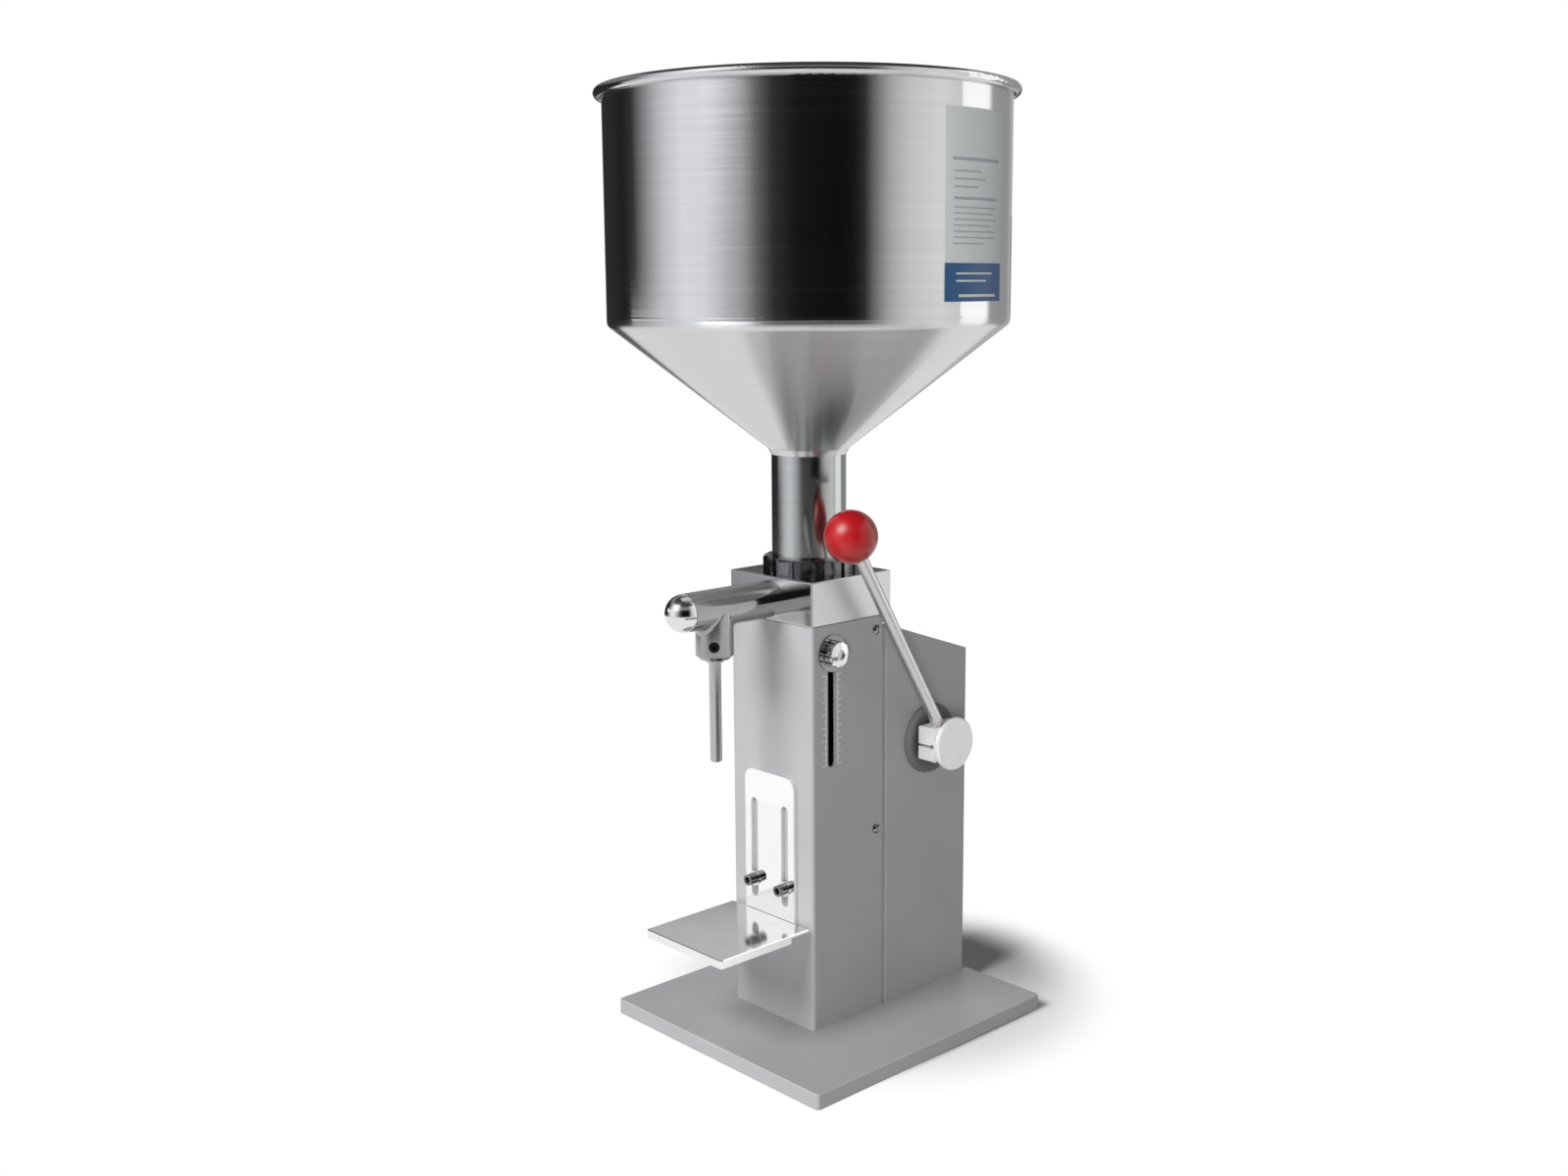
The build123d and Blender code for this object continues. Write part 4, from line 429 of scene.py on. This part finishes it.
def stroke_scale():
    """Two fine lines beside the slot, with a mark every 5 mm and a longer one every 10 mm."""
    bm = bmesh.new()
    back, front = RIGHT_FACE - INK_SUNK, RIGHT_FACE + INK_PROUD
    marks = round((SCALE_TOP - SCALE_FOOT) / MARK_STEP) + 1
    for side in (-1, 1):
        line = SLOT_Y + side * SCALE_OFF
        slab(bm, (back, line - LINE_W / 2, SCALE_FOOT), (front, line + LINE_W / 2, SCALE_TOP))
        for n in range(marks):
            reach = LONG_MARK if n % 2 == 0 else SHORT_MARK
            near, far = sorted((line, line + side * reach))
            z = SCALE_FOOT + n * MARK_STEP
            slab(bm, (back, near, z - MARK_W / 2), (front, far, z + MARK_W / 2))
    dress("stroke_scale", bm, SCALE_INK, "machine")


# The lever's ball, as far out and as far forward as the solid one
LEVER_L = 0.205               # from the shaft to the middle of the ball
LEVER_LEAN = math.radians(31.4)
BALL_R = 0.020
BALL_FLAT = 0.018             # from the middle of the ball to the flat that the rod goes into
BALL_RIM = 0.0005             # rounding between the flat and the ball


def lever_ball():
    """Ball with a flat where the rod goes in, and a rounded rim to the flat."""
    middle = Vector(((LEVER_ROD[0].x + LEVER_ROD[1].x) / 2, SHAFT_Y - LEVER_L * math.sin(LEVER_LEAN),
                     SHAFT_Z + LEVER_L * math.cos(LEVER_LEAN)))
    bm = bmesh.new()
    bmesh.ops.create_uvsphere(bm, u_segments=128, v_segments=64, radius=BALL_R)
    whole = bm.verts[:] + bm.edges[:] + bm.faces[:]
    cut = bmesh.ops.bisect_plane(bm, geom=whole, plane_co=(0, 0, -BALL_FLAT), plane_no=(0, 0, -1),
                                 clear_outer=True)
    rim = [edge for edge in cut["geom_cut"] if isinstance(edge, bmesh.types.BMEdge)]
    bmesh.ops.contextual_create(bm, geom=rim)
    bmesh.ops.bevel(bm, geom=rim, offset=BALL_RIM, offset_type="OFFSET", segments=3, profile=0.5,
                    affect="EDGES", material=-1)
    bmesh.ops.rotate(bm, verts=bm.verts[:], cent=(0, 0, 0), matrix=Matrix.Rotation(LEVER_LEAN, 3, "X"))
    bmesh.ops.translate(bm, verts=bm.verts[:], vec=middle)
    bmesh.ops.recalc_face_normals(bm, faces=bm.faces[:])
    ball = dress("lever_ball", bm, BALL_RED, "lever")
    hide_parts("ball_knob")


# Wound springs with closed ends
INLET_COIL_R, INLET_WIRE, INLET_TURNS = 0.0062, 0.0014, 4
OUTLET_COIL_R, OUTLET_WIRE, OUTLET_TURNS = 0.0060, 0.0013, 5
WIRE_SIDES, TURN_STEPS = 14, 32
CLOSED_PITCH = 1.04           # of a closed end turn, in wire thicknesses
COIL_SHARP = 60.0             # degrees, so that only the wire's cut ends stay sharp


def coil(mean_r, wire, length, active, place):
    """Coil of round wire standing on the origin: a flat turn at each end, open turns between."""
    bm = bmesh.new()
    bmesh.ops.create_circle(bm, cap_ends=True, segments=WIRE_SIDES, radius=wire / 2)
    bmesh.ops.rotate(bm, verts=bm.verts[:], cent=(0, 0, 0), matrix=Matrix.Rotation(math.pi / 2, 3, "X"))
    bmesh.ops.translate(bm, verts=bm.verts[:], vec=(mean_r, 0, wire / 2))
    tight = wire * CLOSED_PITCH
    open_pitch = (length - wire - 2 * tight) / active
    end = bm.faces[:]
    for turns, pitch in ((1, tight), (active, open_pitch), (1, tight)):
        edges = [edge for face in end for edge in face.edges]
        points = [vert for face in end for vert in face.verts]
        last = bmesh.ops.spin(bm, geom=end + edges + points, cent=(0, 0, 0), axis=(0, 0, 1),
                              dvec=(0, 0, pitch / TURN_STEPS), angle=2 * math.pi * turns,
                              steps=TURN_STEPS * turns, use_merge=False)["geom_last"]
        end = [face for face in last if isinstance(face, bmesh.types.BMFace)]
    bmesh.ops.transform(bm, verts=bm.verts[:], matrix=place)
    return closed_up(bm)


def inlet_coil():
    low, high = INLET_SPRING
    bm = coil(INLET_COIL_R, INLET_WIRE, high.z - low.z, INLET_TURNS, Matrix.Translation((0, 0, low.z)))
    made = dress("inlet_coil", bm, SPRING_WIRE, "machine", COIL_SHARP)
    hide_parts("inlet_spring")
    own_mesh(made)


def outlet_coil():
    low, high = OUTLET_SPRING
    middle = (low + high) / 2
    place = Matrix.Translation((middle.x, low.y, middle.z)) @ Matrix.Rotation(-math.pi / 2, 4, "X")
    bm = coil(OUTLET_COIL_R, OUTLET_WIRE, high.y - low.y, OUTLET_TURNS, place)
    made = dress("outlet_coil", bm, SPRING_WIRE, "machine", COIL_SHARP)
    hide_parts("outlet_spring")
    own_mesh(made)


# Dressed welds of the hopper. The ring's outline is from the wall's face out and from its foot up
WELD_RING = ((-0.0001, -0.0015), (0.00005, -0.0009), (0.00008, 0.0), (0.00005, 0.0009), (-0.0001, 0.0015))
WELD_RING_STEPS = 256
WELD_SUNK, WELD_THICK = 0.0001, 0.0003
BACK_WELD_FROM, BACK_WELD_TO = 134.2, 135.8
BACK_WELD_RISE = 0.0017       # from the wall's foot to the foot of the upright weld
BACK_WELD_TOP = 0.7100        # just under the rolled rim
BACK_WELD_STEPS = 6


def hopper_welds():
    """One weld round the foot of the wall, one up its back."""
    bm = bmesh.new()
    ring = [bm.verts.new((HOPPER_R + out, 0, HOPPER_FOOT + rise)) for out, rise in WELD_RING]
    for pair in zip(ring, ring[1:] + ring[:1]):
        bm.edges.new(pair)
    bmesh.ops.spin(bm, geom=bm.verts[:] + bm.edges[:], cent=(0, 0, 0), axis=(0, 0, 1), angle=2 * math.pi,
                   steps=WELD_RING_STEPS, use_merge=True)
    bent_strip(bm, HOPPER_R - WELD_SUNK, WELD_THICK, BACK_WELD_FROM, BACK_WELD_TO,
               HOPPER_FOOT + BACK_WELD_RISE, BACK_WELD_TOP, BACK_WELD_STEPS)
    dress("hopper_welds", closed_up(bm), HOPPER_SHEET, "machine")


# The studio: pale floor, bright surround, and cards that only reflections see
SURROUND_LIGHT = 0.07
FLOOR_R, FLOOR_DROP = 9.0, 0.0004
FLOOR_SHADES = (grey(0.93), grey(0.95))
FLOOR_BOUNCE = grey(0.58)
# Where the floor fades to plain white: a point on it, and the distances from there where it starts and ends
REFLECTED_FADE = ((0.03, 0.26, 0), 0.20, 0.33)
CAMERA_FADE = ((0.0, 0.08, 0), 0.12, 0.20)
REFLECTED_WHITE, CAMERA_WHITE = 0.95, 1.0


def seen_directly(tree):
    """1 for rays that show the background: straight from the camera, mirrored or through glass."""
    path = put(tree, "ShaderNodeLightPath").outputs
    mirrored = reckon(tree, "MAXIMUM", path["Is Camera Ray"], path["Is Glossy Ray"])
    return reckon(tree, "MAXIMUM", mirrored, path["Is Transmission Ray"])


def surround():
    world = bpy.data.worlds.new("studio")
    bpy.context.scene.world = world
    world.use_nodes = True
    tree = world.node_tree
    tree.nodes.clear()
    soft = put(tree, "ShaderNodeBackground", {"Color": grey(1), "Strength": SURROUND_LIGHT})
    white = put(tree, "ShaderNodeBackground", {"Color": grey(1), "Strength": 1.0})
    mix = put(tree, "ShaderNodeMixShader", {0: seen_directly(tree), 1: soft.outputs[0], 2: white.outputs[0]})
    put(tree, "ShaderNodeOutputWorld", {"Surface": mix.outputs[0]})


def stage_piece(name, bm, finish):
    mesh = bpy.data.meshes.new(name)
    bm.to_mesh(mesh)
    bm.free()
    mesh.materials.append(finish)
    made = bpy.data.objects.new(name, mesh)
    bpy.context.scene.collection.objects.link(made)
    return made


def fade_out(tree, place, middle, start, end):
    """0 near a point of the floor, rising smoothly to 1 between two distances from it."""
    return spread(tree, distance_from(tree, place, middle), 0.0, 1.0, start, end, curve="SMOOTHSTEP")


def floor():
    """White floor that keeps the machine's shadow near it and fades to plain white further out."""
    bm = bmesh.new()
    bmesh.ops.create_circle(bm, cap_ends=True, segments=96, radius=FLOOR_R)
    bmesh.ops.translate(bm, verts=bm.verts[:], vec=(0, 0, -FLOOR_DROP))
    made, tree, shader = finish_of("floor_white", Roughness=0.9, Specular_IOR_Level=0.0)
    place = put(tree, "ShaderNodeTexCoord").outputs["Object"]
    seen = seen_directly(tree)
    camera = put(tree, "ShaderNodeLightPath").outputs["Is Camera Ray"]
    shown = two_tone(tree, grain(tree, place, scale=2.0, detail=2.0), *FLOOR_SHADES)
    tree.links.new(mixed(tree, seen, FLOOR_BOUNCE, shown), shader.inputs["Base Color"])
    fade = put(tree, "ShaderNodeMix", {"Factor": camera, "A": fade_out(tree, place, *REFLECTED_FADE),
                                       "B": fade_out(tree, place, *CAMERA_FADE)}).outputs["Result"]
    share = reckon(tree, "MULTIPLY", fade, seen)
    glow = spread(tree, camera, REFLECTED_WHITE, CAMERA_WHITE)
    white = put(tree, "ShaderNodeEmission", {"Color": grey(1), "Strength": glow})
    mix = put(tree, "ShaderNodeMixShader", {0: share, 1: shader.outputs[0], 2: white.outputs[0]})
    tree.links.new(mix.outputs[0], tree.nodes["Material Output"].inputs["Surface"])
    return stage_piece("floor", bm, made)


# Cards shine by themselves and reflect nothing
CARD = {"Base_Color": grey(0), "Roughness": 1.0, "Specular_IOR_Level": 0.0, "Emission_Strength": 1.0}
# The ring of cards: bearing in degrees from +X, brightness and tint
PLAIN, WARM, COOL = 0, 1, -1
RING_CARDS = ((-180, 0.030, PLAIN), (-162, 0.018, PLAIN), (-151, 0.04, COOL), (-141, 0.28, COOL),
              (-125, 0.78, COOL), (-112, 1.02, COOL), (-99, 0.92, COOL), (-87, 0.58, COOL), (-77, 0.37, COOL),
              (-70, 0.14, PLAIN), (-62, 0.03, PLAIN), (-50, 0.006, PLAIN), (-28, 0.002, PLAIN),
              (-20, 0.006, PLAIN), (-14, 0.03, PLAIN), (-8, 0.24, WARM), (0, 0.56, WARM), (10, 0.78, WARM),
              (30, 0.95, WARM), (45, 0.80, WARM), (48, 1.40, PLAIN), (69, 1.40, PLAIN), (73, 0.42, PLAIN),
              (98, 0.34, PLAIN), (112, 0.51, PLAIN), (150, 0.51, PLAIN), (157, 0.03, PLAIN),
              (180, 0.030, PLAIN))
TINT_RED, TINT_BLUE = 0.012, 0.03
RING_R, RING_H, RING_STEPS = 1.6, 2.0, 180
# Higher up the ring no card is darker than this grey, which comes in between two heights
RING_GREY, GREY_FROM, GREY_TO = grey(0.25), 1.05, 1.25


def reflected_only(panel):
    panel.visible_camera = False
    panel.visible_diffuse = False
    panel.visible_shadow = False


def ring_of_cards():
    """Upright cards all round the set, dark and light by turns, that only reflections see."""
    bm = bmesh.new()
    ends = [bm.verts.new((-RING_R, 0, z)) for z in (0.0, RING_H)]
    bm.edges.new(ends)
    bmesh.ops.spin(bm, geom=bm.verts[:] + bm.edges[:], cent=(0, 0, 0), axis=(0, 0, 1), angle=2 * math.pi,
                   steps=RING_STEPS, use_merge=True)
    made, tree, shader = finish_of("ring_card", **CARD)
    place = put(tree, "ShaderNodeTexCoord").outputs["Object"]
    parts = put(tree, "ShaderNodeSeparateXYZ", {0: place}).outputs
    bearing = reckon(tree, "ARCTAN2", parts["Y"], parts["X"])
    ramp = put(tree, "ShaderNodeValToRGB", {0: spread(tree, bearing, 0.0, 1.0, -math.pi, math.pi)})
    stops = ramp.color_ramp.elements
    while len(stops) < len(RING_CARDS):
        stops.new(0.5)
    for stop, (degrees, bright, tint) in zip(stops, RING_CARDS):
        stop.position = (degrees + 180) / 360
        stop.color = (bright * (1 + TINT_RED * tint), bright, bright * (1 - TINT_BLUE * tint), 1)
    above = spread(tree, parts["Z"], 0.0, 1.0, GREY_FROM, GREY_TO)
    cards = mixed(tree, above, ramp.outputs["Color"], RING_GREY, how="LIGHTEN")
    tree.links.new(cards, shader.inputs["Emission Color"])
    reflected_only(stage_piece("ring_of_cards", bm, made))


def single_card(name, bm, brightness):
    """Stages one evenly bright card that only reflections see."""
    finish = finish_of(name, Emission_Color=grey(brightness), **CARD)[0]
    reflected_only(stage_piece(name, bm, finish))


def round_card(name, middle, facing, radius, brightness):
    """Round card turned to face a direction."""
    bm = bmesh.new()
    bmesh.ops.create_circle(bm, cap_ends=True, segments=64, radius=radius)
    turn = Vector((0, 0, 1)).rotation_difference(Vector(facing)).to_matrix()
    bmesh.ops.rotate(bm, verts=bm.verts[:], cent=(0, 0, 0), matrix=turn)
    bmesh.ops.translate(bm, verts=bm.verts[:], vec=middle)
    single_card(name, bm, brightness)


def bent_card(name, distance, bearings, heights, brightness):
    """Card bent round the set, between two bearings in degrees and two heights."""
    bm = bmesh.new()
    start, end = (math.radians(bearing) for bearing in bearings)
    edge = [bm.verts.new((distance * math.cos(start), distance * math.sin(start), z)) for z in heights]
    bm.edges.new(edge)
    bmesh.ops.spin(bm, geom=bm.verts[:] + bm.edges[:], cent=(0, 0, 0), axis=(0, 0, 1), angle=end - start,
                   steps=24, use_merge=False)
    single_card(name, bm, brightness)


def lamp(name, place, aim, size, power):
    """Round soft lamp, aimed at a point."""
    light = bpy.data.lights.new(name, "AREA")
    light.shape = "DISK"
    light.size = size
    light.energy = power
    made = bpy.data.objects.new(name, light)
    made.location = place
    made.rotation_mode = "QUATERNION"
    made.rotation_quaternion = (Vector(aim) - Vector(place)).to_track_quat("-Z", "Y")
    bpy.context.scene.collection.objects.link(made)
    return made


def fill(name, place, aim, size, power, ground):
    """Lamp that softens the shaded sides, with no highlight and none of its light on the ground."""
    made = lamp(name, place, aim, size, power)
    made.visible_glossy = False
    spared = bpy.data.collections.new(name + "_spares")
    spared.objects.link(ground)
    spared.collection_objects[0].light_linking.link_state = "EXCLUDE"
    made.light_linking.receiver_collection = spared


def studio():
    surround()
    ground = floor()
    ring_of_cards()
    round_card("dark_ceiling", middle=(0, 0, 2.0), facing=(0, 0, 1), radius=1.6, brightness=0.06)
    # Two small cards by the red ball that only reflections see, painted reflections: a dark one just above the
    # ball and a grey one facing its lower front
    round_card("ball_top_painted_reflection", middle=(0.064, -0.019, 0.43), facing=(0, 0, 1), radius=0.026, brightness=0.04)
    round_card("ball_side_painted_reflection", middle=(0.047, -0.046, 0.3815), facing=(0.57, 0.65, 0.5), radius=0.024,
               brightness=0.3)
    bent_card("low_dark_card", distance=0.7, bearings=(-44, 30), heights=(0.0, 0.136), brightness=0.22)
    bent_card("low_white_card", distance=0.62, bearings=(-160, -112), heights=(0.0, 0.2), brightness=1.0)
    bent_card("raised_white_card", distance=0.9, bearings=(-152, -122), heights=(0.385, 0.535),
              brightness=1.0)
    bent_card("far_dark_card", distance=1.58, bearings=(114, 154), heights=(0.53, 0.685), brightness=0.05)
    lamp("key", place=(-0.10, -2.25, 2.05), aim=(0, 0, 0.3), size=1.5, power=92)
    fill("low_fill", place=(1.45, -1.42, 0.34), aim=(0, 0, 0.2), size=0.8, power=19, ground=ground)
    fill("back_fill", place=(-1.5, 1.7, 0.3), aim=(0, 0, 0.3), size=0.6, power=24, ground=ground)


# The photograph's viewpoint, from a fit of the object's edges: metres, degrees and pixels
CAMERA_PLACE = (0.91575, -0.88036, 0.5756)
CAMERA_BEARING, CAMERA_DIP, CAMERA_ROLL = 47.01, 10.17, -0.43
FOCAL_PIXELS, PHOTO_WIDTH = 1710.6, 1600
SENSOR_MM = 36.0


def photo_camera():
    bearing, dip, roll = (math.radians(angle) for angle in (CAMERA_BEARING, CAMERA_DIP, CAMERA_ROLL))
    forward = Vector((-math.sin(bearing) * math.cos(dip), math.cos(bearing) * math.cos(dip), -math.sin(dip)))
    level = forward.cross(Vector((0, 0, 1))).normalized()
    rise = level.cross(forward)
    right = level * math.cos(roll) + rise * math.sin(roll)
    up = rise * math.cos(roll) - level * math.sin(roll)
    lens = bpy.data.cameras.new("camera")
    lens.sensor_fit = "HORIZONTAL"
    lens.sensor_width = SENSOR_MM
    lens.lens = SENSOR_MM * FOCAL_PIXELS / PHOTO_WIDTH
    camera = bpy.data.objects.new("camera", lens)
    turn = Matrix((right, up, -forward)).transposed().to_4x4()
    camera.matrix_world = Matrix.Translation(CAMERA_PLACE) @ turn
    bpy.context.scene.collection.objects.link(camera)
    bpy.context.scene.camera = camera


finish_nodes()
hopper_label()
stroke_scale()
lever_ball()
inlet_coil()
outlet_coil()
hopper_welds()
studio()
photo_camera()
bpy.context.scene.view_settings.view_transform = "Standard"
